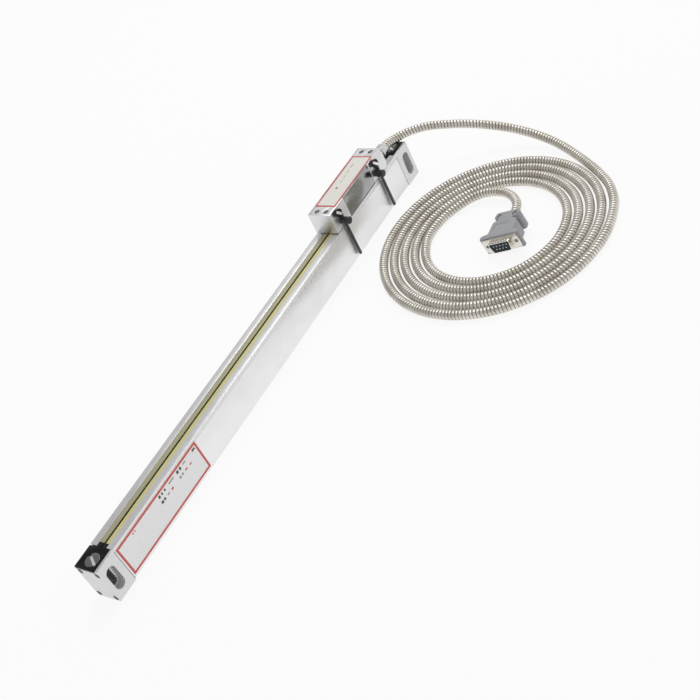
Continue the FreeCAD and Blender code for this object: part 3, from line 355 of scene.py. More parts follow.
along = (30, 1, 1)  # drawn out along the scale
finishLooks = {
    "profileAluminium": {"dark": (0.80, 0.80, 0.805), "light": (0.89, 0.89, 0.895), "metal": 1.0,
                         "rough": (0.34, 0.44), "grain": 0.35, "stretch": along, "relief": 0.12},
    "blockAluminium": {"dark": (0.65, 0.65, 0.655), "light": (0.74, 0.74, 0.745), "metal": 1.0,
                       "rough": (0.36, 0.46), "grain": 0.3, "relief": 0.15, "worn": (0.95, 0.95, 0.96)},
    "headAluminium": {"dark": (0.72, 0.72, 0.725), "light": (0.82, 0.82, 0.825), "metal": 1.0,
                      "rough": (0.32, 0.42), "grain": 0.3, "relief": 0.15, "worn": (0.95, 0.95, 0.96)},
    # painted shading of the end blocks' slots: the recess walls take a duller, less metallic tone, and
    # the walls of the through slot are painted dark as shade
    "slotWallPaintedShading": {"dark": (0.60, 0.60, 0.605), "light": (0.74, 0.74, 0.745), "metal": 0.25,
                   "rough": (0.3, 0.42), "grain": 0.3, "relief": 0.2},
    "slotPaintedShade": {"dark": (0.22, 0.22, 0.225), "light": (0.34, 0.34, 0.345), "metal": 0.4,
                 "rough": (0.34, 0.46), "grain": 0.3, "relief": 0.2},
    "coverSteel": {"dark": (0.30, 0.305, 0.31), "light": (0.42, 0.425, 0.43), "metal": 1.0,
                   "rough": (0.15, 0.24), "grain": 7.0, "stretch": (1, 1, 6), "relief": 0.5},
    "capPlastic": {"dark": (0.006, 0.006, 0.0065), "light": (0.014, 0.014, 0.015), "specular": 0.1,
                   "rough": (0.3, 0.45), "grain": 0.25, "relief": 0.2, "worn": (0.10, 0.10, 0.10)},
    "clipPlastic": {"dark": (0.016, 0.016, 0.018), "light": (0.034, 0.034, 0.036),
                    "rough": (0.4, 0.55), "grain": 0.25, "relief": 0.2, "worn": (0.14, 0.14, 0.14)},
    "screwDull": {"dark": (0.16, 0.16, 0.165), "light": (0.28, 0.28, 0.285), "metal": 1.0,
                  "rough": (0.22, 0.34), "grain": 0.2, "relief": 0.1},
    # bright steel of the hood screws, and also a painted highlight on the floors of the screw slots
    "brightSteelAndSlotHighlight": {"dark": (0.80, 0.80, 0.80), "light": (0.92, 0.92, 0.92), "metal": 1.0,
                    "rough": (0.3, 0.4), "grain": 0.2, "relief": 0.1},
    "screwSteel": {"dark": (0.60, 0.60, 0.61), "light": (0.75, 0.75, 0.76), "metal": 1.0,
                   "rough": (0.22, 0.32), "grain": 0.2, "relief": 0.1},
    "darkScrewSteel": {"dark": (0.006, 0.006, 0.007), "light": (0.014, 0.014, 0.015), "specular": 0.2,
                       "rough": (0.3, 0.45), "grain": 0.2, "worn": (0.10, 0.10, 0.10),
                       "wornWidth": 0.15},
    "gasketRubber": {"dark": (0.36, 0.36, 0.36), "light": (0.46, 0.46, 0.46),
                     "rough": (0.6, 0.75), "grain": 0.3},
    "tapeSteel": {"dark": (0.50, 0.50, 0.51), "light": (0.64, 0.64, 0.65), "metal": 1.0,
                  "rough": (0.3, 0.4), "grain": 0.2, "stretch": along},
    "tapeMagnet": {"dark": (0.05, 0.045, 0.045), "light": (0.09, 0.08, 0.08),
                   "rough": (0.5, 0.65), "grain": 0.3},
    "boardGreen": {"dark": (0.02, 0.12, 0.05), "light": (0.05, 0.22, 0.10),
                   "rough": (0.3, 0.45), "grain": 0.8},
    "chipBlack": {"dark": (0.012, 0.012, 0.012), "light": (0.03, 0.03, 0.03),
                  "rough": (0.4, 0.5), "grain": 0.2},
    "flexAmber": {"dark": (0.45, 0.22, 0.04), "light": (0.62, 0.34, 0.08),
                  "rough": (0.2, 0.3), "grain": 0.6},
    "carriageAluminium": {"dark": (0.55, 0.55, 0.57), "light": (0.68, 0.68, 0.70), "metal": 1.0,
                          "rough": (0.3, 0.42), "grain": 0.3, "stretch": along},
    "bladeSteel": {"dark": (0.48, 0.48, 0.49), "light": (0.60, 0.60, 0.61), "metal": 1.0,
                   "rough": (0.25, 0.35), "grain": 0.2, "stretch": along},
    "rollerPlastic": {"dark": (0.72, 0.71, 0.66), "light": (0.86, 0.85, 0.80),
                      "rough": (0.3, 0.42), "grain": 0.4},
    "glandMetal": {"dark": (0.50, 0.49, 0.46), "light": (0.66, 0.65, 0.62), "metal": 1.0,
                   "rough": (0.24, 0.36), "grain": 0.25},
    "hoodGrey": {"dark": (0.34, 0.345, 0.36), "light": (0.42, 0.425, 0.44),
                 "rough": (0.42, 0.55), "grain": 0.35, "relief": 0.35, "worn": (0.52, 0.52, 0.54)},
    "plugSteel": {"dark": (0.66, 0.63, 0.56), "light": (0.82, 0.80, 0.74), "metal": 1.0,
                  "rough": (0.18, 0.3), "grain": 0.6, "relief": 0.1},
    "insertBlue": {"dark": (0.022, 0.042, 0.068), "light": (0.055, 0.090, 0.130),
                   "rough": (0.35, 0.5), "grain": 0.3},
    "pinGold": {"dark": (0.46, 0.46, 0.42), "light": (0.66, 0.64, 0.57), "metal": 1.0,
                "rough": (0.2, 0.3), "grain": 0.3},
    "inkRed": {"dark": (0.60, 0.11, 0.10), "light": (0.68, 0.15, 0.13), "rough": (0.4, 0.5),
               "grain": 0.4},
    "inkDark": {"dark": (0.05, 0.06, 0.05), "light": (0.10, 0.11, 0.10), "rough": (0.4, 0.5),
                "grain": 0.4},
    "labelSilver": {"dark": (0.84, 0.84, 0.845), "light": (0.90, 0.90, 0.905), "metal": 0.3,
                    "rough": (0.36, 0.46), "grain": 0.5},
    "inkGrey": {"dark": (0.36, 0.36, 0.35), "light": (0.44, 0.44, 0.43), "rough": (0.4, 0.5),
                "grain": 0.4},
    "labelPale": {"dark": (0.82, 0.80, 0.74), "light": (0.89, 0.875, 0.81), "rough": (0.35, 0.45),
                  "grain": 0.8},
    # the two seal lips are one rubber in two tints: the front lip is painted lighter as painted light,
    # the rear lip darker as painted shade
    "frontLipPaintedLight": {"dark": (0.64, 0.58, 0.23), "light": (0.80, 0.74, 0.34), "rough": (0.22, 0.34),
                 "grain": 0.6, "stretch": along, "relief": 0.1},
    "rearLipPaintedShade": {"dark": (0.40, 0.375, 0.23), "light": (0.52, 0.49, 0.31), "rough": (0.22, 0.34),
                "grain": 0.6, "stretch": along, "relief": 0.1},
}
finishes = {name: makeFinish(name, look) for name, look in finishLooks.items()}
print("finishes made:", len(finishes))


# hose: wound metal strip, from the nut on the head through the coil to the plug
hoseSettings = {
    "diameter": 7.4 * mm,
    "ribPitch": 2.72 * mm,
    "ribSteps": 14,
    "ribShape": [  # share of the pitch, and depth in mm
        (0.0, 0.62), (0.10, 0.26), (0.30, 0.03), (0.70, 0.0), (0.90, 0.22), (1.0, 0.62),
    ],
    "leadRoute": [  # mm, from the nut to the coil
        (421.0, -2.5, 40.5), (427.3, -2.5, 40.0), (435.2, -3.2, 37.9), (443.0, -7.1, 36.8),
        (449.6, -14.0, 36.7), (456.8, -26.0, 35.6), (464.8, -41.0, 31.0), (473.2, -62.0, 24.5),
        (479.0, -93.0, 14.5), (472.5, -128.0, 6.8), (452.0, -162.0, 3.75), (427.0, -192.5, 3.75),
        (409.135, -204.373, 3.75),
    ],
    "tailRoute": [  # mm, from the coil to the plug
        (353.98, -67.253, 3.75), (366.5, -66.8, 3.75), (380.0, -69.6, 3.75), (392.6, -76.6, 4.3),
        (402.3, -85.2, 5.4), (407.4, -97.0, 6.6), (407.2, -110.0, 7.6), (402.3, -121.5, 8.8),
        (393.8, -130.6, 9.8), (385.28, -135.63, 10.491), (373.4, -137.3, 10.491),
    ],
    "coilCentre": (364.0, -121.3, 3.75),
    "coilRadius": 93.5,
    "coilPitch": 8.73,
    "coilStart": -70.0,
    "coilTurns": 4.5,
    "pointsPerTurn": 24,
    "lineSteps": 12,
}


def makeHoseLine():
    # one spline: lead, turns of the coil inwards and clockwise, tail
    settings = hoseSettings
    step = 2 * math.pi / settings["pointsPerTurn"]
    points = [Vector(point) for point in settings["leadRoute"]]
    for number in range(int(settings["coilTurns"] * settings["pointsPerTurn"]) + 1):
        angle = math.radians(settings["coilStart"]) - number * step
        radius = settings["coilRadius"] - settings["coilPitch"] * number / settings["pointsPerTurn"]
        outwards = Vector((math.cos(angle), math.sin(angle), 0))
        # the spline passes inside its points
        points.append(Vector(settings["coilCentre"]) + radius / math.cos(step / 2) * outwards)
    points += [Vector(point) for point in settings["tailRoute"]]
    curve = bpy.data.curves.new("hoseLine", "CURVE")
    curve.dimensions = "3D"
    curve.resolution_u = settings["lineSteps"]
    curve.twist_mode = "MINIMUM"
    spline = curve.splines.new("NURBS")
    spline.points.add(len(points) - 1)
    for place, point in zip(spline.points, points):
        place.co = (*(point * mm), 1.0)
    spline.order_u = 3
    spline.use_endpoint_u = True
    line = bpy.data.objects.new("hoseLine", curve)
    bpy.context.collection.objects.link(line)
    return line


def readLine(line):
    mesh = bpy.data.meshes.new_from_object(line)
    points = [vertex.co.copy() for vertex in mesh.vertices]
    bpy.data.meshes.remove(mesh)
    return points


def makeHose():
    settings = hoseSettings
    line = makeHoseLine()
    path = readLine(line)
    length = sum((after - before).length for before, after in zip(path, path[1:]))
    turns = round(length / settings["ribPitch"])
    pitch = length / turns
    outer = settings["diameter"] / 2
    # one rib's outline, wound up along X
    bpy.ops.object.select_all(action="DESELECT")
    outline = [(share * pitch, 0, outer - depth * mm) for share, depth in settings["ribShape"]]
    bpy.ops.mesh.primitive_plane_add(size=pitch)
    hose = bpy.context.object
    hose.name = "hose"
    openMesh(hose, "VERT")
    bpy.ops.mesh.select_all(action="SELECT")
    bpy.ops.mesh.merge(type="CENTER")
    bpy.ops.transform.translate(value=outline[0])
    for before, after in zip(outline, outline[1:]):
        move = [b - a for a, b in zip(before, after)]
        bpy.ops.mesh.extrude_vertices_move(TRANSFORM_OT_translate={"value": move})
    closeMesh()
    screw = hose.modifiers.new("wind", "SCREW")
    screw.axis = "X"
    screw.screw_offset = pitch
    screw.iterations = turns
    screw.steps = screw.render_steps = settings["ribSteps"]
    applyAll(hose)
    outwardFaces(hose)
    # height on the rib, for the painted shade in the grooves
    heights = hose.data.attributes.new("ribHeight", "FLOAT", "POINT")
    deepest = max(depth for share, depth in settings["ribShape"]) * mm
    for vertex, height in zip(hose.data.vertices, heights.data):
        height.value = 1 - (outer - math.hypot(vertex.co.y, vertex.co.z)) / deepest
    bend = hose.modifiers.new("lay", "CURVE")
    bend.object = line
    bend.deform_axis = "POS_X"
    applyAll(hose)
    bpy.data.objects.remove(line)
    return hose, path, length


hoseLook = {
    # the grooves between the ribs are painted dark as shade, lighter up the rib towards the crest
    "groove": (0.06, 0.05, 0.04),
    "crest": (0.62, 0.58, 0.51),
    "pale": (0.78, 0.75, 0.69),
    "slope": (0.1, 0.75),  # rib heights between which the painted shade of the grooves turns into the crest's colour
    "rough": (0.32, 0.46),
    "grain": 0.6,
    "patch": 25.0,
}


def makeHoseFinish():
    look = hoseLook
    material, tree, shader = startMaterial("hoseMetal")
    vector = addNode(tree, "TexCoord").outputs["Object"]
    height = addNode(tree, "Attribute", {"attribute_name": "ribHeight"}).outputs["Fac"]
    grain = placeGroup(tree, grainGroup, vector, Size=look["grain"])
    handling = placeGroup(tree, handlingGroup, vector, Size=look["patch"])
    crest = mixColours(tree, handling.outputs["Value"], look["crest"], look["pale"])
    low, high = look["slope"]
    # painted shade, darkest at the bottom of each groove, from the rib height
    shade = addNode(tree, "MapRange", {"interpolation_type": "SMOOTHSTEP"},
                    {"From Min": low, "From Max": high})
    tree.links.new(height, shade.inputs["Value"])
    colour = mixColours(tree, shade.outputs["Result"], look["groove"], crest)
    tree.links.new(colour, shader.inputs["Base Color"])
    tree.links.new(ranged(tree, grain.outputs["Value"], *look["rough"]), shader.inputs["Roughness"])
    shader.inputs["Metallic"].default_value = 1.0
    return material


finishes["hoseMetal"] = makeHoseFinish()
hose, hosePath, hoseLength = makeHose()
seat(coat(hose, "hoseMetal"), "reader_head", "hose_metal", "cable_lead", "cable_coil", "cable_tail",
     smooth=50)
print(f"hose wound: {hoseLength:.3f} m, {len(hose.data.polygons)} faces")


# scale: profile, seal lips, end blocks, caps and screws
scaleSettings = {
    "profileEdge": 0.12 * mm,
    "blockEdge": 0.35 * mm,
    "capEdge": 0.25 * mm,
    "screwEdge": 0.25 * mm,
    "lipEdge": 0.2 * mm,
    "slotMiddle": {"near": 0.0, "far": 432.0 * mm},
    "slotReach": (4.6 * mm, 10.5 * mm),  # to each side of the slot's middle, and up and down
    "slotHeight": 16.0 * mm,
    "recessFront": -10.6 * mm,
    "recessFloor": -4.6 * mm,
}


def makeScale():
    settings = scaleSettings
    dress("housing_profile", "housingProfile", "scale", "profile_aluminium", "profileAluminium",
          settings["profileEdge"])
    # front lip takes the painted-light tint, rear lip the painted-shade tint, though both are one rubber
    dress("front_seal_lip", "frontSealLip", "scale", "lip_rubber", "frontLipPaintedLight", settings["lipEdge"])
    dress("rear_seal_lip", "rearSealLip", "scale", "lip_rubber", "rearLipPaintedShade", settings["lipEdge"])
    for end, middle in settings["slotMiddle"].items():
        block = dress(f"{end}_end_block", f"{end}EndBlock", "scale", "block_aluminium",
                      "blockAluminium", settings["blockEdge"], 3)

        def inSlot(centre, normal):
            side, height = settings["slotReach"]
            return (abs(centre.x - middle) < side and abs(centre.z - settings["slotHeight"]) < height
                    and centre.y > settings["recessFront"] and abs(normal.y) < faceOn)

        # painted shading: the recess walls, and deeper in the through slot's walls, are painted darker
        # than the block, as the shade inside the slot
        paint(block, "slotWallPaintedShading", inSlot)
        paint(block, "slotPaintedShade",
              lambda centre, normal: inSlot(centre, normal) and centre.y > settings["recessFloor"])
        dress(f"{end}_end_cap", f"{end}EndCap", "scale", "cap_plastic", "capPlastic", settings["capEdge"])
        dress(f"{end}_block_screws", f"{end}BlockScrews", "scale", "dark_screw_steel", "darkScrewSteel",
              settings["screwEdge"])


plugScrewSettings = {
    "slotTurn": 57.0,  # degrees from the scale's length
    "slotWidth": 2.0 * mm,
    "slotDepth": 0.7 * mm,
    "slotEdge": 0.1 * mm,
    "height": 2.0 * mm,
    "edge": 0.3 * mm,
    "finish": "screwDull",
}


def makeSlottedHead(name, place, radius, settings):
    # round head along Z with its face at the origin, cut by a slot, then put in its place
    bpy.ops.object.select_all(action="DESELECT")
    bpy.ops.mesh.primitive_cylinder_add(vertices=48, radius=radius, depth=settings["height"],
                                        location=(0, 0, -settings["height"] / 2))
    head = fixPlace(bpy.context.object)
    head.name = name
    roundEdges(head, settings["edge"], 4, lambda first, last: min(first.z, last.z) > -slack)
    bpy.ops.object.select_all(action="DESELECT")
    bpy.ops.mesh.primitive_cube_add(size=1, rotation=(0, 0, math.radians(settings["slotTurn"])))
    tool = bpy.context.object
    tool.scale = (3 * radius, settings["slotWidth"], 2 * settings["slotDepth"])
    cutAway(head, fixPlace(tool))
    breakEdges(head, settings["slotEdge"], 2, 40)
    coat(head, settings["finish"])
    # the slot floor is painted bright, as a painted highlight
    paint(head, "brightSteelAndSlotHighlight", lambda centre, normal: abs(centre.z + settings["slotDepth"]) < 2 * slack)
    head.data.transform(place)
    return head


def makePlugScrews():
    for end in ("near", "far"):
        low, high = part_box(f"{end}_plug_screw")
        place = Matrix.Translation(((low.x + high.x) / 2, (low.y + high.y) / 2, high.z))
        screw = makeSlottedHead(f"{end}PlugScrew", place, (high.x - low.x) / 2, plugScrewSettings)
        seat(screw, "scale", "screw_steel", f"{end}_plug_screw")


makeScale()
makePlugScrews()
print("scale dressed")


# labels: a film with a red printed border and plain printed bars
barLift = 0.02 * mm  # bars lie this far before the film


def printBorder(label, width, test):
    # the outer ring of the shown face, and the film's sides, take the red ink
    label.data.materials.append(finishes["inkRed"])
    chooseFaces(label, test)
    bpy.ops.mesh.inset(thickness=width)
    bpy.ops.mesh.select_all(action="INVERT")
    label.active_material_index = 1
    bpy.ops.object.material_slot_assign()
    closeMesh()


def makeBar(middle, length, width, turn, ink):
    bpy.ops.object.select_all(action="DESELECT")
    bpy.ops.mesh.primitive_plane_add(size=1, location=middle, rotation=turn)
    bar = bpy.context.object
    bar.scale = (length, width, 1)
    return coat(fixPlace(bar), ink)


sideLabelSettings = {
    "border": 1.9 * mm,
    "turn": (math.pi / 2, 0, 0),
    "bars": [  # middle along the scale, middle height, length and height in mm, ink
        (60.7, 26.0, 2.0, 2.4, "inkDark"), (63.8, 26.0, 1.6, 2.0, "inkDark"),
        (67.2, 26.0, 1.6, 2.0, "inkDark"), (75.3, 26.2, 6.0, 1.4, "inkGrey"),
        (83.0, 26.0, 2.2, 2.6, "inkDark"), (86.4, 26.0, 2.0, 2.4, "inkDark"),
        (91.4, 26.2, 3.4, 1.2, "inkGrey"), (103.5, 26.3, 3.4, 1.8, "inkDark"),
        (60.5, 21.0, 2.4, 2.4, "inkDark"), (63.4, 21.0, 1.8, 2.2, "inkDark"),
        (67.9, 21.0, 2.4, 1.4, "inkGrey"), (72.7, 20.9, 2.4, 1.6, "inkRed"),
        (82.7, 20.8, 2.0, 2.2, "inkGrey"), (85.7, 20.9, 1.8, 2.0, "inkGrey"),
        (90.2, 20.9, 2.6, 1.4, "inkRed"), (95.4, 20.6, 2.2, 1.2, "inkRed"),
        (28.9, 26.6, 1.1, 1.4, "inkRed"), (31.1, 26.6, 1.1, 1.4, "inkRed"),
    ],
}


def makeSideLabel():
    settings = sideLabelSettings
    label = coat(copyNode("side_label", "sideLabel"), "labelSilver")
    printBorder(label, settings["border"], lambda centre, normal: normal.y < -faceOn)
    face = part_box("side_label")[0].y - barLift
    bars = [makeBar((x * mm, face, z * mm), length * mm, height * mm, settings["turn"], ink)
            for x, z, length, height, ink in settings["bars"]]
    seat(joinUp([label] + bars), "scale", "label_film", "side_label")


headLabelSettings = {
    "border": 1.5 * mm,
    "bars": [  # middle along the head, middle across, length and width in mm, ink
        (356.2, 2.0, 2.2, 1.6, "inkDark"), (364.6, 2.3, 3.2, 0.7, "inkGrey"),
        (370.4, 2.7, 4.2, 0.7, "inkGrey"), (377.0, 3.1, 4.6, 0.8, "inkGrey"),
        (384.4, 3.3, 5.6, 0.8, "inkGrey"),
    ],
}


def makeHeadLabel():
    settings = headLabelSettings
    label = coat(copyNode("head_label", "headLabel"), "labelPale")
    printBorder(label, settings["border"], lambda centre, normal: normal.z > faceOn)
    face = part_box("head_label")[1].z + barLift
    bars = [makeBar((x * mm, y * mm, face), length * mm, width * mm, (0, 0, 0), ink)
            for x, y, length, width, ink in settings["bars"]]
    seat(joinUp([label] + bars), "reader_head", "label_film", "head_label")


makeSideLabel()
makeHeadLabel()
print("labels printed")


# reader head: body, polished cover, gland and transport clips
headSettings = {
    "bodyEdge": 0.3 * mm,
    "coverEdge": 0.3 * mm,
    "clipEdge": 0.35 * mm,
    "studEdge": 0.6 * mm,
    "nutEdge": 0.4 * mm,
}
clipScrewSettings = {
    "slotTurn": -48.0,  # degrees from the scale's length
    "slotWidth": 2.2 * mm,
    "slotDepth": 0.5 * mm,
    "slotEdge": 0.1 * mm,
    "height": 1.5 * mm,
    "edge": 0.3 * mm,
    "finish": "darkScrewSteel",
}


def makeHead():
    settings = headSettings
    dress("head_body", "headBody", "reader_head", "head_aluminium", "headAluminium",
          settings["bodyEdge"], 3)
    dress("head_cover", "headCover", "reader_head", "cover_steel", "coverSteel",
          settings["coverEdge"], 3)
    dress("gland_plate", "glandPlate", "reader_head", "head_aluminium", "headAluminium",
          settings["bodyEdge"])
    dress("gland_nut", "glandNut", "reader_head", "screw_steel", "screwSteel", settings["nutEdge"], 3)
    dress("gland_plate_screws", "glandPlateScrews", "reader_head", "dark_screw_steel", "darkScrewSteel",
          settings["bodyEdge"])
    for end in ("near", "far"):
        dress(f"{end}_transport_clip", f"{end}TransportClip", "reader_head", "clip_plastic",
              "clipPlastic", settings["clipEdge"], 3)
        dress(f"{end}_clip_stud", f"{end}ClipStud", "reader_head", "clip_plastic", "clipPlastic",
              settings["studEdge"], 4)
        low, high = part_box(f"{end}_clip_screw")
        place = (Matrix.Translation(((low.x + high.x) / 2, low.y, (low.z + high.z) / 2))
                 @ Matrix.Rotation(math.pi / 2, 4, "X"))
        screw = makeSlottedHead(f"{end}ClipScrew", place, (high.x - low.x) / 2, clipScrewSettings)
        seat(screw, "reader_head", "dark_screw_steel", f"{end}_clip_screw")


makeHead()
print("reader head dressed")


# plug: hood halves with ears and wings, flanged shell with dimples, insert and pins
plugSettings = {
    "entry": (373.4, -137.3, 10.491),  # mm, where the hose goes in
    "yaw": 188.0,  # degrees
    "roll": 11.0,
    "hoodTop": 7.5 * mm,
    "corners": [  # lowest and highest place along the plug and across it, then the rounding, in mm
        (1.7, 7.1, 10.5, 10.7, 1.7), (7.7, 8.9, 5.9, 6.1, 0.35), (10.7, 10.9, 10.1, 10.3, 1.2),
        (25.1, 25.3, 16.3, 16.5, 1.3),
    ],
    "topEdge": 0.45 * mm,
    "screwPlace": (4.6 * mm, 6.9 * mm),
    "screwReach": 3.05 * mm,
    "seamEdge": 0.12 * mm,
    "grooves": [  # middle along and across, length and width in mm
        (14.4, -1.3, 0.5, 12.2), (17.2, -7.2, 6.1, 0.5),
    ],
    "grooveDepth": 0.4 * mm,
    "screwSink": 1.2 * mm,
    "shellRound": 1.1 * mm,
    "shellCorners": (7.0 * mm, 9.5 * mm),  # between these places across, outside the dimples
    "rimPlace": 33.5 * mm,
    "shellRoot": (29.6 * mm, 31.0 * mm),  # along the plug, from the flange to where its corners end
    "lowCorner": (6.6 * mm, -3.45 * mm),  # across from here outwards, and down from here
    "flangeRound": 2.2 * mm,
    "flangeHalf": 15.4 * mm,
    "dimples": [-6.0, -3.6, -1.2, 1.2, 3.6, 6.0],  # mm across
    "dimplePlace": 31.5 * mm,
    "dimpleHeight": 5.05 * mm,
    "dimpleRadius": 0.85 * mm,
    "metalEdge": 0.15 * mm,
}
plugFrame = (Matrix.Translation(Vector(plugSettings["entry"]) * mm)
             @ Matrix.Rotation(math.radians(plugSettings["yaw"]), 4, "Z")
             @ Matrix.Rotation(math.radians(plugSettings["roll"]), 4, "X"))


def copyFlat(node, name):
    # copy turned into the plug's own frame: forwards along X, wide side along Y
    piece = copyNode(node, name)
    piece.data.transform(plugFrame.inverted())
    return piece


def layDown(piece, slot, node):
    piece.data.transform(plugFrame)
    seat(piece, "reader_head", slot, node)


def upright(first, last):
    return math.hypot(first.x - last.x, first.y - last.y) < slack


def forwards(first, last):
    return math.hypot(first.y - last.y, first.z - last.z) < slack


def makeHood(half, sign):
    settings = plugSettings
    hood = copyFlat(f"plug_hood_{half}", f"plugHood{half.title()}")
    for start, end, inner, outer, rounding in settings["corners"]:
        roundEdges(hood, rounding * mm, 4, lambda first, last: upright(first, last)
                   and start * mm < first.x < end * mm and inner * mm < abs(first.y) < outer * mm)
    place, side = settings["screwPlace"]

    def onTopEdge(*ends):
        # away from the screw holes
        return all(sign * end.z > settings["hoodTop"] - slack
                   and math.hypot(end.x - place, abs(end.y) - side) > settings["screwReach"]
                   for end in ends)

    roundEdges(hood, settings["topEdge"], 3, onTopEdge)
    for x, y, length, width in settings["grooves"]:
        bpy.ops.object.select_all(action="DESELECT")
        bpy.ops.mesh.primitive_cube_add(size=1, location=(x * mm, y * mm, sign * settings["hoodTop"]))
        tool = bpy.context.object
        tool.scale = (length * mm, width * mm, 2 * settings["grooveDepth"])
        cutAway(hood, fixPlace(tool))
    breakEdges(hood, settings["seamEdge"], 2, 50)
    layDown(coat(hood, "hoodGrey"), "hood_grey", f"plug_hood_{half}")


def makeConnector():
    settings = plugSettings
    shell = copyFlat("plug_shell", "plugShell")
    balls = []
    for across in settings["dimples"]:
        for sign in (-1, 1):
            bpy.ops.object.select_all(action="DESELECT")
            place = (settings["dimplePlace"], across * mm, sign * settings["dimpleHeight"])
            bpy.ops.mesh.primitive_ico_sphere_add(subdivisions=3, radius=settings["dimpleRadius"],
                                                  location=place)
            balls.append(fixPlace(bpy.context.object))
    cutAway(shell, joinUp(balls))
    roundEdges(shell, settings["flangeRound"], 5,
               lambda first, last: forwards(first, last)
               and abs(first.y) > settings["flangeHalf"] - slack)
    inner, outer = settings["shellCorners"]
    roundEdges(shell, settings["shellRound"], 4,
               lambda first, last: forwards(first, last) and inner < abs(first.y) < outer)
    # the lower corners end flat on the flange
    root, reach = settings["shellRoot"]
    side, low = settings["lowCorner"]
    chooseEdges(shell, lambda *ends: all(
        root - slack < end.x < reach and end.z < low and side < abs(end.y) < outer for end in ends))
    bpy.ops.transform.resize(value=(0, 1, 1), center_override=(root, 0, 0))
    bpy.ops.mesh.remove_doubles(threshold=weld)
    closeMesh()
    # the rim is laid anew between the two outlines of the opening
    chooseFaces(shell, lambda centre, normal: normal.x > faceOn and centre.x > settings["rimPlace"])
    bpy.ops.mesh.delete(type="FACE")
    bpy.ops.mesh.select_mode(type="EDGE")
    bpy.ops.mesh.select_non_manifold()
    bpy.ops.mesh.bridge_edge_loops()
    closeMesh()
    breakEdges(shell, settings["metalEdge"], 2, 50)
    layDown(coat(shell, "plugSteel"), "plug_steel", "plug_shell")

    insert = copyFlat("plug_insert", "plugInsert")
    roundEdges(insert, settings["shellRound"], 4, forwards)
    layDown(coat(insert, "insertBlue"), "insert_blue", "plug_insert")
    dress("plug_pins", "plugPins", "reader_head", "pin_gold", "pinGold", settings["metalEdge"])
    screws = copyFlat("hood_screws", "hoodScrews")
    chooseFaces(screws, lambda centre, normal: centre.z > settings["hoodTop"] - slack)
    bpy.ops.transform.translate(value=(0, 0, -settings["screwSink"]))
    closeMesh()
    breakEdges(screws, settings["metalEdge"], 2)
    layDown(coat(screws, "brightSteelAndSlotHighlight"), "screw_steel", "hood_screws")


makeHood("upper", 1)
makeHood("lower", -1)
makeConnector()
print("plug made")


# pieces inside the head and the profile keep their CAD shape
innerFinishes = {
    "tape_carrier": "tapeSteel", "magnetic_tape": "tapeMagnet", "head_base_plate": "headAluminium",
    "head_base_seal": "gasketRubber", "base_plate_screws": "screwSteel", "head_board": "boardGreen",
    "board_chips": "chipBlack", "cable_gland": "glandMetal", "scanning_carriage": "carriageAluminium",
    "coupling_blade": "bladeSteel", "sensor_board": "boardGreen", "sensor_chip": "chipBlack",
    "sensor_flex": "flexAmber", "near_axle": "bladeSteel", "far_axle": "bladeSteel",
    "near_rollers": "rollerPlastic", "far_rollers": "rollerPlastic",
    "near_end_gasket": "gasketRubber", "far_end_gasket": "gasketRubber",
}
for node, finish in innerFinishes.items():
    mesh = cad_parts[node].data
    mesh.materials.clear()
    mesh.materials.append(finishes[finish])
print("inner pieces finished:", len(innerFinishes))


# floor and light
stageSettings = {
    "floorSize": 8.0,
    "floorPlace": (0.25, -0.05, -0.05 * mm),
    "floorColour": (0.94, 0.94, 0.94),
    "floorRough": 0.9,
    "floorShare": 0.12,  # how much of the floor's look is its own shading
    "skyHeight": ((0.0, 0.95), (0.9, 0.60)),  # lowest and highest direction, each with its strength
    "skyLength": ((0.2, 0.86), (0.7, 1.06)),  # the same towards the far end
    "skyDepth": ((-0.1, 1.0), (0.6, 0.80)),  # the same towards the back
    "keyPlace": (1.1, 0.2, 1.6),
    "keyAim": (0.3, -0.05, 0.0),
    "keySize": 0.9,
    "keyPower": 9.0,
}


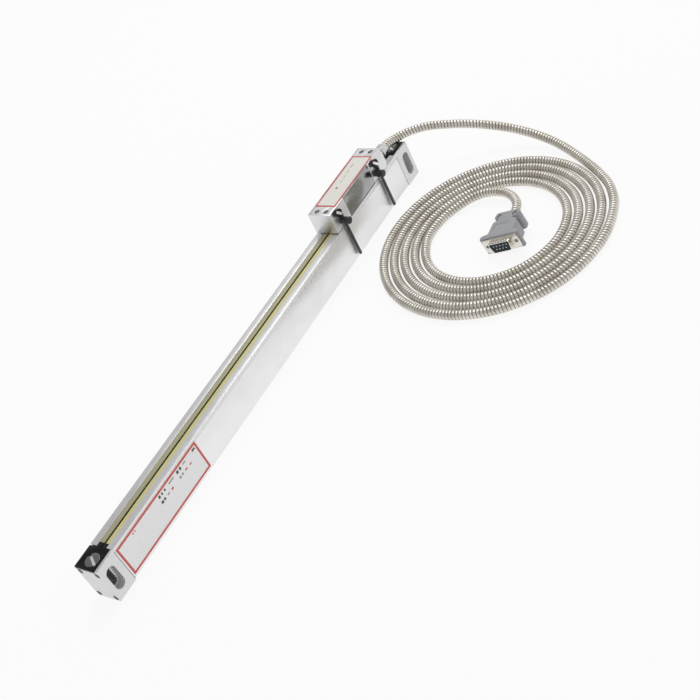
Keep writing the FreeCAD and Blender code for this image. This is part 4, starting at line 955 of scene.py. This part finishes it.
def makeFloor():
    settings = stageSettings
    bpy.ops.object.select_all(action="DESELECT")
    bpy.ops.mesh.primitive_plane_add(size=settings["floorSize"], location=settings["floorPlace"])
    floor = fixPlace(bpy.context.object)
    floor.name = "floor"
    material, tree, shader = startMaterial("floorWhite")
    shader.inputs["Base Color"].default_value = (*settings["floorColour"], 1)
    shader.inputs["Roughness"].default_value = settings["floorRough"]
    shader.inputs["Specular IOR Level"].default_value = 0.0
    glow = addNode(tree, "Emission")
    rays = addNode(tree, "LightPath")
    share = addNode(tree, "Math", {"operation": "MULTIPLY"}, {1: 1 - settings["floorShare"]})
    tree.links.new(rays.outputs["Is Camera Ray"], share.inputs[0])
    seen = share.outputs["Value"]
    for name in ("Is Glossy Ray", "Is Transmission Ray"):
        either = addNode(tree, "Math", {"operation": "MAXIMUM"})
        tree.links.new(seen, either.inputs[0])
        tree.links.new(rays.outputs[name], either.inputs[1])
        seen = either.outputs["Value"]
    mix = addNode(tree, "MixShader")
    tree.links.new(seen, mix.inputs[0])
    tree.links.new(shader.outputs["BSDF"], mix.inputs[1])
    tree.links.new(glow.outputs["Emission"], mix.inputs[2])
    tree.links.new(mix.outputs["Shader"], tree.nodes["Material Output"].inputs["Surface"])
    floor.data.materials.append(material)


def makeLight():
    settings = stageSettings
    world = bpy.data.worlds.new("studio")
    bpy.context.scene.world = world
    world.use_nodes = True
    tree = world.node_tree
    direction = addNode(tree, "TexCoord").outputs["Generated"]
    split = addNode(tree, "SeparateXYZ")
    tree.links.new(direction, split.inputs["Vector"])
    strength = None
    for axis, name in (("Z", "skyHeight"), ("X", "skyLength"), ("Y", "skyDepth")):
        (start, low), (end, high) = settings[name]
        share = addNode(tree, "MapRange", None,
                        {"From Min": start, "From Max": end, "To Min": low, "To Max": high})
        tree.links.new(split.outputs[axis], share.inputs["Value"])
        if strength is None:
            strength = share.outputs["Result"]
            continue
        both = addNode(tree, "Math", {"operation": "MULTIPLY"})
        tree.links.new(strength, both.inputs[0])
        tree.links.new(share.outputs["Result"], both.inputs[1])
        strength = both.outputs["Value"]
    tree.links.new(strength, tree.nodes["Background"].inputs["Strength"])
    tree.nodes["Background"].inputs["Color"].default_value = (1, 1, 1, 1)
    aim = Vector(settings["keyAim"]) - Vector(settings["keyPlace"])
    turn = aim.to_track_quat("-Z", "Y").to_euler()
    bpy.ops.object.light_add(type="AREA", location=settings["keyPlace"], rotation=turn)
    key = bpy.context.object
    key.data.size = settings["keySize"]
    key.data.energy = settings["keyPower"]


makeFloor()
makeLight()
print("stage set")
